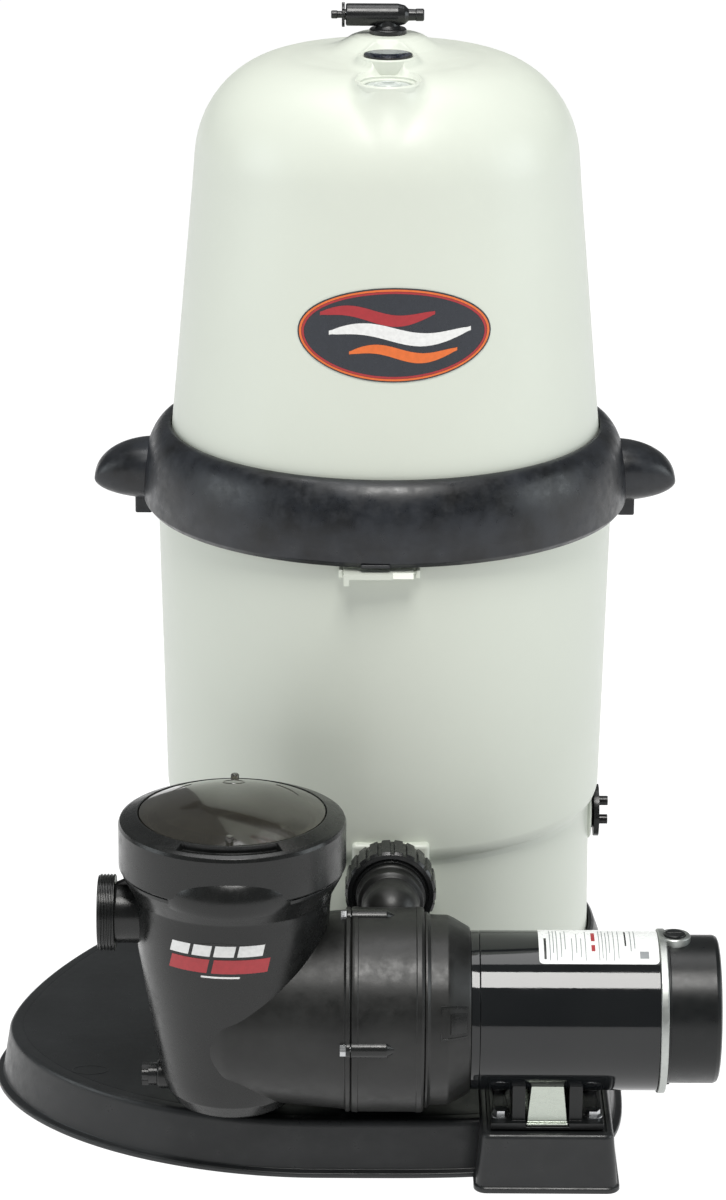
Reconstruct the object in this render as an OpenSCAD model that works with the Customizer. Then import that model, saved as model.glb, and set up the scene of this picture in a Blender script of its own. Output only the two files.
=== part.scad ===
// Free-standing pool filter system: a two-part tank with a pleated cartridge, and a strainer-pot
// pump with its motor, both on one moulded platform. +X runs along the motor shaft away from the
// strainer pot, +Y from the pump to the tank, +Z up. Millimetres. The modules draw in tank
// coordinates (tank axis at X = Y = 0), and place() moves them so that the origin is at the centre
// of the bottom of the whole system.

/* [Platform] */
// Height of the deck above the floor
deck_z = 50; // [48:1:52]
// Reach of the deck to the left of the egg-shaped outline's centre
egg_left = 290; // [280:1:300]
// Reach of the deck to the front of the outline's centre
egg_front = 219; // [214:1:222]
// Radius of the deck round the tank
base_r = 226; // [224:1:230]
// Width of the out-turned foot flange
flange_w = 14; // [12:1:16]
// Height of the motor pedestal
pedestal_z = 54; // [52:1:56]

/* [Tank] */
// Outer radius of the lower tank just under the lock ring
tank_r = 212.3; // [211.5:0.1:212.6]
// Outer radius of the narrower skirt
skirt_r = 198; // [197:0.5:199]
// Height of the joint between tank and head
rim_z = 560; // [559:0.5:561]
// Wall thickness of tank and head
tank_wall = 6; // [5:0.5:7]
// Height of the flat top of the head
head_top_z = 962; // [960:1:964]

/* [Lock ring] */
// Outer radius of the lock ring's lower edge
ring_r = 227.5; // [226.5:0.5:228.5]
// Distance of each handle's tip from the tank axis
handle_reach = 273; // [268:1:278]

/* [Filter cartridge] */
// Outer radius of the pleats
pleat_r = 125; // [115:1:135]
// Number of pleats
pleat_count = 72; // [60:1:80]
// Length between the end caps' outer faces
cart_len = 580; // [560:1:590]
// Radius of the perforated core
core_r = 44; // [42:1:46]

/* [Pump] */
// Distance of the pump axis in front of the tank axis
pump_y = 340; // [339:0.5:341]
// Height of the pump axis above the floor
pump_z = 146; // [145.5:0.5:147]
// Outer radius of the volute casing
volute_r = 91.5; // [90:0.5:92]
// Distance of the strainer pot's axis from the tank axis along X
pot_x = 134; // [133:0.5:135]
// Outer radius of the strainer lid ring
lid_ring_r = 100.5; // [99.5:0.5:101.5]
// Height of the inner edge of the lid ring's conical top face
lid_ring_z = 334.5; // [334:0.5:335]

/* [Motor] */
// Outer radius of the motor shell
motor_r = 71; // [70.5:0.5:71.5]
// Radius of the motor shaft
shaft_r = 8; // [7:0.5:8]

/* [Ports] */
// Radius of the bore that takes a nominal inch-and-a-half pipe
pipe_bore_r = 24.3; // [24.2:0.1:24.5]
// Height of the tank's inlet and outlet
port_z = 218; // [217:0.5:219]

/* [Hidden] */
$fn = 96;
eps = 0.01;
running_gap = 0.05;
egg_x = -60;
egg_y = -150;
egg_right = 270;
egg_back = 376;
motor_end_x = 298;
pad_y = -212;
rear_stub = 36;
grip_r = 62;
grip_offset = 46;
frame_x = -(egg_x - egg_left - flange_w + motor_end_x) / 2;
frame_y = (pump_y + grip_offset + grip_r + pad_y - rear_stub) / 2;
pedestal_x = 146;
pedestal_y = -343;
rib_foot_z = 3;
saddle_bolt_x = 41;
through_bolt_r = 57;
pot_floor_z = 58;
seam_x = -29;
casing_end_x = 36;
bracket_end_x = 77;
shell_end_x = 243.5;
bell_end_x = 250.6;
union_x = 6.5;
hub_end_y = -268;
outlet_end_y = -285;
outlet_r = 26;
nut_r = 41.5;
lid_seat_z = 322;
pot_neck_r = 86;
cart_z = 258;
relief_z = 979;
gauge_y = -63;
gauge_z = 955;
cup_y = -118;
cup_z = 940;
drain_z = 208;
pot_drain_z = 82;
suction_z = 238;
latch_z = 516;
latch_pin_r = 2;

// ---- shared helpers ----------------------------------------------------------------------------

module place() translate([frame_x, frame_y, 0]) children();

// Pump coordinates: the shaft axis becomes local Z, with local Z = 0 at the tank axis' X.
module on_shaft() place() translate([0, -pump_y, pump_z]) rotate([0, 90, 0]) children();

module at_pot() place() translate([-pot_x, -pump_y, 0]) children();

// A solid of revolution about +X from local profile points [radius, x].
module revolve_x(points) on_shaft() rotate_extrude() polygon(points);

module revolve_z(points) rotate_extrude() polygon(points);

// A cylinder along -Y that starts at y0 and ends at y1 (y1 < y0).
module rod_y(r, x, y0, y1, z) translate([x, y0, z]) rotate([90, 0, 0]) cylinder(r = r, h = y0 - y1);

module rod_x(r, x0, x1, y, z) translate([x0, y, z]) rotate([0, 90, 0]) cylinder(r = r, h = x1 - x0);

module tube(r_out, r_in, h) difference() {
    cylinder(r = r_out, h = h);
    translate([0, 0, -1]) cylinder(r = r_in, h = h + 2);
}

module ring_of(count, radius, start = 0)
    for (i = [0 : count - 1]) rotate(start + i * 360 / count) translate([radius, 0, 0]) children();

// Points of an elliptic arc from angle a0 to a1.
function arc(cx, cy, rx, ry, a0, a1, steps = 12) =
    [for (i = [0 : steps]) let (a = a0 + (a1 - a0) * i / steps) [cx + rx * cos(a), cy + ry * sin(a)]];

// ---- platform ----------------------------------------------------------------------------------

function side(v, low, high) = v < 0 ? low : high;
function bulge(c, s) = c > 0 && s < 0 ? 4 : (s < 0 ? 1.9 : 1.55);
function sgn_pow(v, p) = sign(v) * pow(abs(v), p);
function egg(off) = [for (a = [0 : 4 : 356]) let (c = cos(a), s = sin(a), p = 2 / bulge(c, s))
    [egg_x + (side(c, egg_left, egg_right) + off) * sgn_pow(c, p),
     egg_y + (side(s, egg_front, egg_back) + off) * sgn_pow(s, p)]];

module deck_slab(off, z, t = 1) translate([0, 0, z]) linear_extrude(t) union() {
    circle(base_r + off);
    polygon(egg(off));
}

// Outline of a rectangle with half sides hx, hy and corner radius r, one quarter turn after another.
function round_rect(hx, hy, r) = [for (q = [0 : 3]) for (k = [0 : 4]) let (a = q * 90 + k * 22.5)
    [(q == 0 || q == 3 ? 1 : -1) * (hx - r) + r * cos(a), (q < 2 ? 1 : -1) * (hy - r) + r * sin(a)]];

module pedestal_slab(off, z, t = 1) translate([pedestal_x, pedestal_y, z]) linear_extrude(t)
    polygon(round_rect(58 + off, 62 + off, 8));

module platform_ribs() {
    for (x = [-300 : 60 : 180]) translate([x, -400, rib_foot_z]) cube([4, 640, deck_z]);
    for (y = [-330 : 60 : 210]) translate([-360, y, rib_foot_z]) cube([590, 4, deck_z]);
}

module at_foot_bolts() for (x = [-saddle_bolt_x, saddle_bolt_x]) for (y = [-378, -318])
    translate([pedestal_x + x, y, 0]) children();

module platform() color("#1c1c1e") place() {
    collar_top = deck_z + 48;
    difference() {
        union() {
            hull() {
                deck_slab(7, 6);
                deck_slab(1, deck_z - 7);
                deck_slab(-4, deck_z - 1);
            }
            hull() {
                deck_slab(flange_w - 1, 0, 5);
                deck_slab(flange_w, 1, 3);
            }
            hull() {
                pedestal_slab(5, 3);
                pedestal_slab(1, pedestal_z - 4);
                pedestal_slab(-2, pedestal_z - 1);
            }
            pedestal_slab(7, 0, 5);
            revolve_z([[204, deck_z - 2], [222, deck_z - 2], [220, deck_z + 4], [205, collar_top - 2],
                [203, collar_top], [skirt_r + 2.6, collar_top], [skirt_r + 2.6, deck_z - 2]]);
            ring_of(4, 200, 45) translate([0, 0, deck_z + 24]) rotate([0, 90, 0]) cylinder(r = 9, h = 16.5);
        }
        difference() {
            hull() {
                deck_slab(1, -1);
                deck_slab(-5, deck_z - 6);
            }
            platform_ribs();
        }
        difference() {
            hull() {
                pedestal_slab(0, -1);
                pedestal_slab(-5, pedestal_z - 6);
            }
            translate([pedestal_x - 2, pedestal_y - 70, rib_foot_z]) cube([4, 140, pedestal_z]);
            translate([pedestal_x - 70, pedestal_y - 2, rib_foot_z]) cube([140, 4, pedestal_z]);
        }
        translate([0, 0, deck_z + eps]) cylinder(r = skirt_r + 2.6, h = 60);
        ring_of(4, 190, 45) translate([0, 0, deck_z + 24]) rotate([0, 90, 0]) cylinder(r = 3.1, h = 30);
        at_foot_bolts() translate([0, 0, pedestal_z - 8]) cylinder(r = 4.2, h = 10);
    }
}

module tank_screws() color("silver") place()
    ring_of(4, 0, 45) translate([192.5, 0, deck_z + 24]) rotate([0, 90, 0]) {
        cylinder(r = 3, h = 24.5);
        translate([0, 0, 24.1]) cylinder(r = 7, h = 1.4);
        translate([0, 0, 25.3]) cylinder(r = 5.5, h = 4.5, $fn = 6);
    }

// ---- tank --------------------------------------------------------------------------------------

floor_z = 140;
floor_rise = 38;
function dish(r) = floor_z + floor_rise * pow(r / (skirt_r - 7), 2);

module tank_outer() revolve_z(concat(
    [[0, deck_z + 0.05], [skirt_r + 1.2, deck_z + 0.05], [skirt_r, 228]],
    arc(skirt_r - 0.5, 248, 9, 16, -84, -8, 8),
    [[tank_r, 500], [tank_r + 0.6, 524], [213, rim_z], [0, rim_z]]));

module tank_inner() revolve_z(concat(
    [for (r = [0 : 19.1 : skirt_r - 7]) [r, dish(r)]],
    [[skirt_r - 7, 232], [tank_r - tank_wall - 5, 252], [tank_r - tank_wall, 500],
     [tank_r - tank_wall, rim_z + 1], [0, rim_z + 1]]));

module skirt_inner() revolve_z(concat(
    [[0, deck_z - 1], [skirt_r - 5.4, deck_z - 1], [skirt_r - 6.4, dish(skirt_r - 8) - 9]],
    [for (i = [9 : -1 : 0]) let (r = i * (skirt_r - 14) / 9) [r, dish(r) - 6]]));

module port_pad(x, turn) rotate(turn) translate([x - 35.5, pad_y, 160]) cube([71, 30, 93]);

module latch_ear(x) translate([x, 0, 0]) difference() {
    translate([0, -220, latch_z - 5]) cube([4, 11, 8]);
    rod_x(latch_pin_r + running_gap, -1, 5, -217, latch_z);
}

module tank_body() color("#e4e6df") place() {
    difference() {
        union() {
            tank_outer();
            port_pad(union_x, 0);
            port_pad(0, 180);
            rod_x(27, 180, 200.5, 0, drain_z);
            latch_ear(-42);
            latch_ear(27);
        }
        tank_inner();
        skirt_inner();
        rod_y(26.2, union_x, -150, -230, port_z);
        rod_y(26.2, 0, 230, 150, port_z);
        rod_x(14.2, 150, 230, 0, drain_z);
        translate([0, 0, rim_z - 2.9]) tube(212.4, 206.6, 5);
        ring_of(4, 150, 45) translate([0, 0, deck_z + 24]) rotate([0, 90, 0]) cylinder(r = 3.1, h = 60);
    }
}

module tank_oring() color("#151515") place() translate([0, 0, rim_z]) rotate_extrude()
    translate([209.5, 0]) circle(2.85, $fn = 24);

// A bulkhead fitting through the tank wall, drawn along -Y at the front.
module bulkhead(x, stub) difference() {
    union() {
        rod_y(35, x, -179.5, -186, port_z);
        rod_y(26, x, -185, pad_y - 0.1, port_z);
        rod_y(33.2, x, pad_y - 0.05, pad_y - stub, port_z);
    }
    rod_y(20, x, -170, pad_y - stub - 1, port_z);
}

module inlet_fitting() color("#1a1a1c") place() bulkhead(union_x, 25);

module outlet_fitting() color("#1a1a1c") place() rotate(180) difference() {
    bulkhead(0, rear_stub);
    rod_y(pipe_bore_r, 0, pad_y - 6, pad_y - rear_stub - 4, port_z);
}

module outlet_manifold() color("#d9dad6") place() difference() {
    union() {
        translate([0, 0, floor_z + 2]) cylinder(r = 40, h = 112);
        translate([0, 0, cart_z - 6]) cylinder(r = 60, h = 5.6);
        translate([0, 0, cart_z - 1]) cylinder(r = 31, h = 31);
        rod_y(23, 0, 179, 30, port_z);
    }
    translate([0, 0, 152]) cylinder(r = 26, h = 200);
    rod_y(18, 0, 190, 0, port_z);
}

module drain_seal() color("#111111") place() rod_x_ring(17, 14.6, 200.7, 202.6, 0, drain_z);

module rod_x_ring(r_out, r_in, x0, x1, y, z)
    translate([x0, y, z]) rotate([0, 90, 0]) tube(r_out, r_in, x1 - x0);

module drain_plug() color("#1a1a1c") place() {
    rod_x(13.8, 186, 204, 0, drain_z);
    rod_x(25, 203, 208, 0, drain_z);
    for (dz = [-9.5, 9.5]) rod_x(4.6, 207.5, 217, 0, drain_z + dz);
}

module ring_latch() color("#e4e6df") place() difference() {
    union() {
        translate([-37.4, -233, latch_z - 2]) cube([44, 18.5, 4.5]);
        translate([6, -230, latch_z - 2]) rotate([90, 0, 90])
            linear_extrude(19) polygon([[0, 0], [15, 0], [15, 4.5], [4, 4.5]]);
        rod_x(3.4, -37.4, 25, -217, latch_z);
        rod_x(latch_pin_r, -41.8, 30.8, -217, latch_z);
        translate([-37.4, -233, latch_z - 8]) cube([5, 3, 8]);
    }
    for (x = [-30, -18]) translate([x, -230, latch_z - 3]) cube([8, 8, 2]);
}

// ---- head --------------------------------------------------------------------------------------

head_foot_z = rim_z + 3.3;
shoulder_x = 85;
shoulder_z = 845;
shoulder_w = 92;
shoulder_h = 98;
wall_foot_r = 202.6;

function head_profile(t) = concat(
    [[wall_foot_r - t, head_foot_z + 3]],
    arc(shoulder_x, shoulder_z, shoulder_w - t, shoulder_h - t, 0, 90, 14),
    [[48, 951.5 - t], [42, 954.5 - t], [34, 960 - t], [27, head_top_z - t], [0, head_top_z - t]]);

module head_outer() revolve_z(concat(
    [[0, head_foot_z], [215.8, head_foot_z], [216, head_foot_z + 8], [214, head_foot_z + 10]],
    [[wall_foot_r - 1, head_foot_z + 11]],
    arc(shoulder_x, shoulder_z, shoulder_w, shoulder_h, 0, 90, 14),
    [[48, 951.5], [42, 954.5], [34, 960], [27, head_top_z], [0, head_top_z]]));

module head_inner() revolve_z(concat([[0, head_foot_z - 1], [wall_foot_r - tank_wall, head_foot_z - 1]],
    head_profile(tank_wall)));

// The raised cup's nose, a tilted cone that sinks into the shoulder of the head.
module cup_nose() translate([0, -123.6, 919.8]) rotate([145.45, 0, 0]) cylinder(r1 = 28.5, r2 = 9, h = 77.4);

module tank_head() color("#e4e6df") place() difference() {
    union() {
        difference() {
            union() {
                head_outer();
                cup_nose();
                translate([0, cup_y, cup_z - 20]) cylinder(r = 29, h = 20.5);
                translate([0, gauge_y, 930]) cylinder(r = 27, h = gauge_z - 932);
            }
            head_inner();
        }
        translate([0, cup_y, cup_z - 15]) cylinder(r = 24.5, h = 12);
        translate([0, gauge_y, gauge_z - 18]) cylinder(r = 25.5, h = 10);
    }
    translate([0, gauge_y, gauge_z - 12]) cylinder(r = 22.1, h = 20);
    translate([0, cup_y, cup_z - 9]) cylinder(r = 21, h = 20);
    translate([0, cup_y, cup_z - 2]) cylinder(r = 25, h = 10);
    translate([0, 0, 900]) cylinder(r = 6.1, h = 100);
}

function ellipse_points(a, b, n = 60) = [for (i = [0 : n - 1]) [a * cos(i * 360 / n), b * sin(i * 360 / n)]];

module badge() color("#30343c") place() intersection() {
    translate([union_x, -150, 727]) rotate([90, 0, 0]) linear_extrude(60) polygon(ellipse_points(86, 42));
    difference() {
        revolve_z([[0, 660], [194.7, 660], [182.2, 800], [0, 800]]);
        revolve_z([[0, 659], [193.9, 659], [181.4, 801], [0, 801]]);
    }
}

module relief_body() color("#1c1d1d") place() difference() {
    union() {
        translate([0, 0, head_top_z - 22]) cylinder(r = 6, h = 24);
        translate([0, 0, head_top_z + 0.05]) cylinder(r = 17, h = 5);
        translate([0, 0, head_top_z + 4]) cylinder(r1 = 12, r2 = 9, h = 6);
        translate([0, 0, head_top_z + 9]) cylinder(r = 9, h = 9);
        translate([-38.5, 0, relief_z]) rotate([0, 90, 0]) rotate_extrude()
            polygon([[0, 0], [9.4, 0], [10.2, 1], [10.2, 50], [9.2, 54], [6, 57.5], [5.7, 58], [5.7, 70.5],
                [5, 71.5], [0, 71.5]]);
    }
    rod_x(5.05, -40, 10, 0, relief_z);
    rod_x(2.5, 5, 40, 0, relief_z);
    translate([0, 0, head_top_z - 30]) cylinder(r = 2.5, h = 46);
}

module relief_screw() color("#161616") place() {
    rod_x(5, -40, -6, 0, relief_z);
    difference() {
        rod_x(11.4, -42.2, -39.2, 0, relief_z);
        translate([-45, 0, relief_z]) rotate([0, 90, 0]) ring_of(10, 12.2) cylinder(r = 1.8, h = 10, $fn = 16);
    }
    rod_x(3.6, -52, -42, 0, relief_z);
}

module at_gauge(z) place() translate([0, gauge_y, z]) children();

module gauge_case() color("#1a1a1a") at_gauge(gauge_z - 11.9) difference() {
    cylinder(r = 22, h = 11.9);
    translate([0, 0, 4]) cylinder(r = 20.2, h = 12);
    translate([0, 0, 10.4]) cylinder(r = 21.2, h = 5);
}

module gauge_face() color("#20242c") at_gauge(gauge_z - 7.9) {
    cylinder(r = 20, h = 1);
    cylinder(r = 1, h = 4.4);
}

module gauge_needle() color("#d8d8d4") at_gauge(gauge_z - 6.2) difference() {
    union() {
        cylinder(r = 3, h = 1.6);
        translate([-0.8, -5, 0]) cube([1.6, 21, 0.8]);
    }
    translate([0, 0, -1]) cylinder(r = 1 + running_gap, h = 5);
}

module gauge_lens() color("#9fb0b8", 0.35) at_gauge(gauge_z - 1.4) cylinder(r = 21, h = 1.3);

module port_plug() color("#c9cbc8") place() translate([0, cup_y, cup_z - 9]) difference() {
    union() {
        cylinder(r = 20.8, h = 3);
        translate([0, 0, 2.5]) cylinder(r1 = 13, r2 = 10, h = 4.5);
    }
    translate([0, 0, 4]) cylinder(r = 5, h = 5, $fn = 6);
}

// ---- lock ring ---------------------------------------------------------------------------------

module ring_handle() {
    hull() {
        translate([216, -36, 522]) cube([6, 72, 58]);
        translate([216, -24, 579]) cube([4, 48, 3]);
        translate([handle_reach - 11, 14, 541]) rotate([90, 0, 0]) cylinder(r = 11, h = 28, $fn = 32);
        translate([247, 22, 556]) rotate([90, 0, 0]) cylinder(r = 11, h = 44, $fn = 32);
    }
    translate([219, -11, 508]) cube([16, 22, 16]);
}

module lock_ring() color("#1d1d1f") place() difference() {
    union() {
        revolve_z([[200.6, 599], [204, 602.2], [209, 603], [215, 600.5], [220, 594], [223.5, 583],
            [225.5, 568], [ring_r - 0.5, 548], [ring_r, 532], [226, 525], [222, 521.5], [214.2, 521.5],
            [214.2, 527], [219, 529.5], [219, 590], [211, 596]]);
        ring_handle();
        rotate(180) ring_handle();
        translate([-22, -231, 520]) cube([26, 12, 5.5]);
    }
    revolve_z([[190, 510], [214.2, 510], [214.2, 527], [219, 529.5], [219, 588], [211, 596], [200.6, 599],
        [190, 599]]);
}

// ---- cartridge ---------------------------------------------------------------------------------

// A closed zigzag between the radii r_crest and r_root. Two of them bound the folded sheet, which is
// about 0.6 thick at right angles to its panels.
function zigzag(r_crest, r_root) = [for (i = [0 : 2 * pleat_count - 1])
    let (a = i * 180 / pleat_count, r = i % 2 == 0 ? r_crest : r_root) [r * cos(a), r * sin(a)]];

module cartridge_pleats() color("#eef1f2") place() translate([0, 0, cart_z + 10])
    linear_extrude(cart_len - 20) difference() {
        polygon(zigzag(pleat_r, core_r + 12.3));
        polygon(zigzag(pleat_r - 20, core_r + 4));
    }

module cartridge_core() color("#c9ced2") place() difference() {
    translate([0, 0, cart_z + 6]) tube(core_r, core_r - 3.5, cart_len - 12);
    for (row = [0 : 5]) translate([0, 0, cart_z + 60 + row * 90]) ring_of(6, 0, row % 2 * 30)
        rotate([0, 90, 0]) cylinder(r = 6, h = core_r + 5);
}

module end_cap(z, flip) translate([0, 0, z]) rotate([flip, 0, 0]) difference() {
    union() {
        cylinder(r = pleat_r + 3, h = 9.9);
        cylinder(r = pleat_r + 1, h = 13);
    }
    translate([0, 0, 9.9]) tube(pleat_r + 0.2, core_r + 3.8, 5);
    translate([0, 0, 5.9]) cylinder(r = core_r + 0.1, h = 20);
    translate([0, 0, -1]) cylinder(r = 32, h = 20);
}

module cartridge_top_cap() color("#3b6ea5") place() end_cap(cart_z + cart_len, 180);

module cartridge_bottom_cap() color("#3b6ea5") place() end_cap(cart_z, 0);

// ---- strainer pot and volute -------------------------------------------------------------------

module bolt_places() for (a = [0 : 90 : 270]) rotate(a) translate([volute_r - 3.5, 0, 0]) children();

// Outer radius of the pot's wall between the heights 208 and 250.
function pot_wall(z) = 84 + (z - 208) * 2.5 / 42;

module strainer_housing() color("#1b1b1d") {
    bore_end = 46;
    difference() {
        union() {
            at_pot() revolve_z([[0, pot_floor_z], [40, pot_floor_z], [52, 63], [61, 76], [65, 92], [74, 146],
                [pot_wall(208), 208], [pot_wall(250), 250], [87.5, 260], [98.5, 280], [98.5, 283.2],
                [pot_neck_r, 283.3], [pot_neck_r, lid_seat_z], [0, lid_seat_z]]);
            on_shaft() translate([0, 0, -pot_x]) cylinder(r1 = 80, r2 = 89, h = pot_x + seam_x - 3);
            on_shaft() translate([0, 0, seam_x - 4]) cylinder(r = 91, h = 3.9);
            place() rod_x(27, -246, -pot_x, -pump_y, suction_z);
            place() rod_x(34, -253, -238, -pump_y, suction_z);
            place() rod_x(13, -pot_x - 68, -pot_x, -pump_y, pot_drain_z);
            on_shaft() bolt_places() translate([0, 0, seam_x - 4]) cylinder(r = 7.5, h = 3.9);
        }
        at_pot() revolve_z([[0, 66], [36, 66], [56, 80], [60, 96], [69, 146], [77, 208], [78, 250],
            [78, lid_seat_z + 1], [0, lid_seat_z + 1]]);
        on_shaft() translate([0, 0, -pot_x]) cylinder(r = 30, h = 120);
        place() rod_x(20, -260, -pot_x, -pump_y, suction_z);
        place() rod_x(pipe_bore_r, -260, -253 + bore_end - 14, -pump_y, suction_z);
        place() rod_x(6.6, -pot_x - 80, -pot_x, -pump_y, pot_drain_z);
        on_shaft() bolt_places() translate([0, 0, seam_x - 10]) cylinder(r = 3.2, h = 12);
        on_shaft() bolt_places() translate([0, 0, seam_x - 19]) cylinder(r = 7, h = 15);
        at_pot() translate([0, 0, lid_seat_z - 2.6]) tube(84.4, 78.9, 4);
    }
}

// Outlet of the volute: a socket hub, a short pipe and a domed end sunk in the casing.
module outlet_shape() translate([union_x, 0, port_z]) rotate([90, 0, 0]) rotate_extrude()
    polygon(concat([[0, -pad_y + 37], [31.5, -pad_y + 37], [31.5, -pad_y + 42], [30, -pad_y + 42.5],
        [30, -hub_end_y], [outlet_r, -hub_end_y + 1.5]],
        arc(0, -outlet_end_y, outlet_r, outlet_r, 0, 90, 9)));

module volute_casing() color("#1b1b1d") difference() {
    union() {
        revolve_x([[0, seam_x], [volute_r - 1.5, seam_x], [volute_r, seam_x + 2], [volute_r, casing_end_x - 2],
            [volute_r - 1.5, casing_end_x - 0.1], [0, casing_end_x - 0.1]]);
        on_shaft() bolt_places() translate([0, 0, seam_x + 0.05]) cylinder(r = 7.5, h = 32);
        on_shaft() bolt_places() translate([0, 0, seam_x + 32]) cylinder(r1 = 7.5, r2 = 3, h = 14);
        place() outlet_shape();
    }
    on_shaft() translate([0, 0, seam_x - 1]) cylinder(r = 30, h = 40);
    on_shaft() translate([0, 0, seam_x + 8]) cylinder(r = 80, h = 80);
    place() rod_y(20, union_x, pad_y - 30, -325, port_z);
    place() rod_y(pipe_bore_r, union_x, pad_y - 30, hub_end_y + 1.5, port_z);
    on_shaft() bolt_places() translate([0, 0, seam_x - 1]) cylinder(r = 3.05, h = 30);
}

module housing_oring() color("#111111") on_shaft() translate([0, 0, 31.5]) rotate_extrude()
    translate([77.9, 0]) circle(1.9, $fn = 24);

module housing_bolts() color("#8e9092") on_shaft() bolt_places() {
    translate([0, 0, seam_x - 4.2]) cylinder(r = 3, h = 30);
    translate([0, 0, seam_x - 9.1]) cylinder(r = 6.2, h = 5, $fn = 6);
}

module pot_label() color("#2a2a2c") at_pot() intersection() {
    translate([-9.6, 0, 226]) rotate([90, 0, 0]) linear_extrude(110) polygon(ellipse_points(45, 18));
    difference() {
        revolve_z([[0, 208], [pot_wall(208) + 0.6, 208], [pot_wall(250) + 0.6, 250], [0, 250]]);
        revolve_z([[0, 207], [pot_wall(207) + 0.05, 207], [pot_wall(251) + 0.05, 251], [0, 251]]);
    }
}

module pot_drain_plug() color("#141416") place() {
    rod_x(6.55, -pot_x - 82, -pot_x - 60, -pump_y, pot_drain_z);
    rod_x(10, -pot_x - 76, -pot_x - 68.6, -pump_y, pot_drain_z);
    translate([-pot_x - 82, -pump_y - 3, pot_drain_z - 10]) cube([8, 6, 20]);
}

basket_top = 306;
basket_low = 112;
function basket_r(z) = 62 + 12 * (z - basket_low) / (basket_top - basket_low);

module strainer_basket() color("#d7d8d2") at_pot() {
    difference() {
        revolve_z([[0, basket_low], [60, basket_low], [62, basket_low + 2], [73.5, basket_top - 6],
            [76.6, basket_top - 5], [76.6, basket_top], [71.6, basket_top], [60, basket_low + 3],
            [0, basket_low + 3]]);
        for (z = [132, 188]) translate([0, 0, z]) ring_of(20, 0, 9) translate([50, -3, 0]) cube([30, 6, 44]);
        translate([0, 0, 245]) ring_of(20, 0, 9) translate([50, -3, 0]) cube([30, 6, 40]);
        ring_of(10, 34) translate([-14, -3, basket_low - 1]) cube([28, 6, 6]);
    }
    translate([-72.5, -4, basket_top - 4]) cube([145, 8, 4]);
    intersection() {
        translate([0, 4, basket_top - 3]) rotate([90, 0, 0]) tube(28, 23, 8);
        translate([-40, -10, basket_top - 3]) cube([80, 20, 40]);
    }
}

module lid_oring() color("#111111") at_pot() translate([0, 0, lid_seat_z + 0.05]) rotate_extrude()
    translate([81.6, 0]) circle(2.4, $fn = 24);

lid_apex_z = 350;
lid_dome_r = 82;
dome_rise = 16;
dome_sphere_r = (pow(lid_dome_r, 2) + pow(dome_rise, 2)) / (2 * dome_rise);
function dome_point(r, drop) = [r, lid_apex_z - drop - dome_sphere_r + sqrt(pow(dome_sphere_r, 2) - r * r)];

module pot_lid() color("#4a4a46", 0.5) at_pot() {
    revolve_z(concat(
        [[70, lid_seat_z - 4], [76, lid_seat_z - 4], [76.6, lid_seat_z + 2.8], [92, lid_seat_z + 2.8],
         [92, lid_seat_z + 5.2], [lid_dome_r, lid_seat_z + 5.4]],
        [for (i = [10 : -1 : 0]) dome_point(lid_dome_r * i / 10, 0)],
        [for (i = [0 : 10]) dome_point((lid_dome_r - 12) * i / 10, 4)]));
    for (s = [-1, 1]) translate([0, s * 77, 332]) cylinder(r = 3.8, h = 9);
}

lid_ring_edge_z = 328;
function ring_cone(r) = lid_ring_z - (r - 83.2) * (lid_ring_z - lid_ring_edge_z) / (lid_ring_r - 1.5 - 83.2);

module lid_ring() color("#1c1c1e") at_pot() difference() {
    union() {
        revolve_z([[88, 284.2], [lid_ring_r - 1, 284.2], [lid_ring_r, 286], [lid_ring_r, lid_ring_edge_z - 3],
            [lid_ring_r - 1.5, lid_ring_edge_z], [83.2, lid_ring_z], [83.2, 320], [88, 320]]);
        intersection() {
            for (s = [-1, 1]) translate([0, s * grip_offset, 288]) sphere(r = grip_r);
            difference() {
                translate([0, 0, 284.2]) cylinder(r = 130, h = 40);
                translate([0, 0, 280]) cylinder(r = 95, h = 60);
            }
        }
    }
    translate([0, 0, 280]) cylinder(r = 93, h = lid_seat_z + 5.5 - 280);
    for (turn = [0, 180]) rotate(turn) intersection() {
        revolve_z([[85, ring_cone(85) - 1.4], [95, ring_cone(95) - 1.4], [95, lid_ring_z + 3],
            [85, lid_ring_z + 3]]);
        translate([-45, -120, 300]) cube([90, 60, 60]);
    }
}

// ---- union -------------------------------------------------------------------------------------

module union_nut() color("#1a1a1c") place() difference() {
    union() {
        rod_y(nut_r - 2.5, union_x, pad_y - 1, pad_y - 36, port_z);
        translate([union_x, pad_y - 2, port_z]) rotate([90, 0, 0]) ring_of(12, nut_r - 5.6)
            cylinder(r = 5.6, h = 32, $fn = 32);
    }
    rod_y(33.8, union_x, pad_y, pad_y - 31.6, port_z);
    rod_y(25.2, union_x, pad_y, pad_y - 40, port_z);
}

module union_sleeve() color("#202022") place() difference() {
    union() {
        rod_y(33, union_x, pad_y - 25.4, pad_y - 31, port_z);
        rod_y(24.2, union_x, pad_y - 30, hub_end_y + 2, port_z);
    }
    rod_y(20, union_x, pad_y - 20, hub_end_y - 2, port_z);
}

// ---- wet end -----------------------------------------------------------------------------------

module diffuser() color("#2b2b2e") on_shaft() difference() {
    union() {
        translate([0, 0, seam_x + 13]) cylinder(r = 76, h = 4);
        translate([0, 0, seam_x + 9]) tube(34, 29, 8);
        ring_of(7, 68) translate([-6, -1.5, seam_x + 16]) cube([12, 3, 26]);
    }
    translate([0, 0, seam_x + 5]) cylinder(r = 29, h = 30);
}

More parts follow.
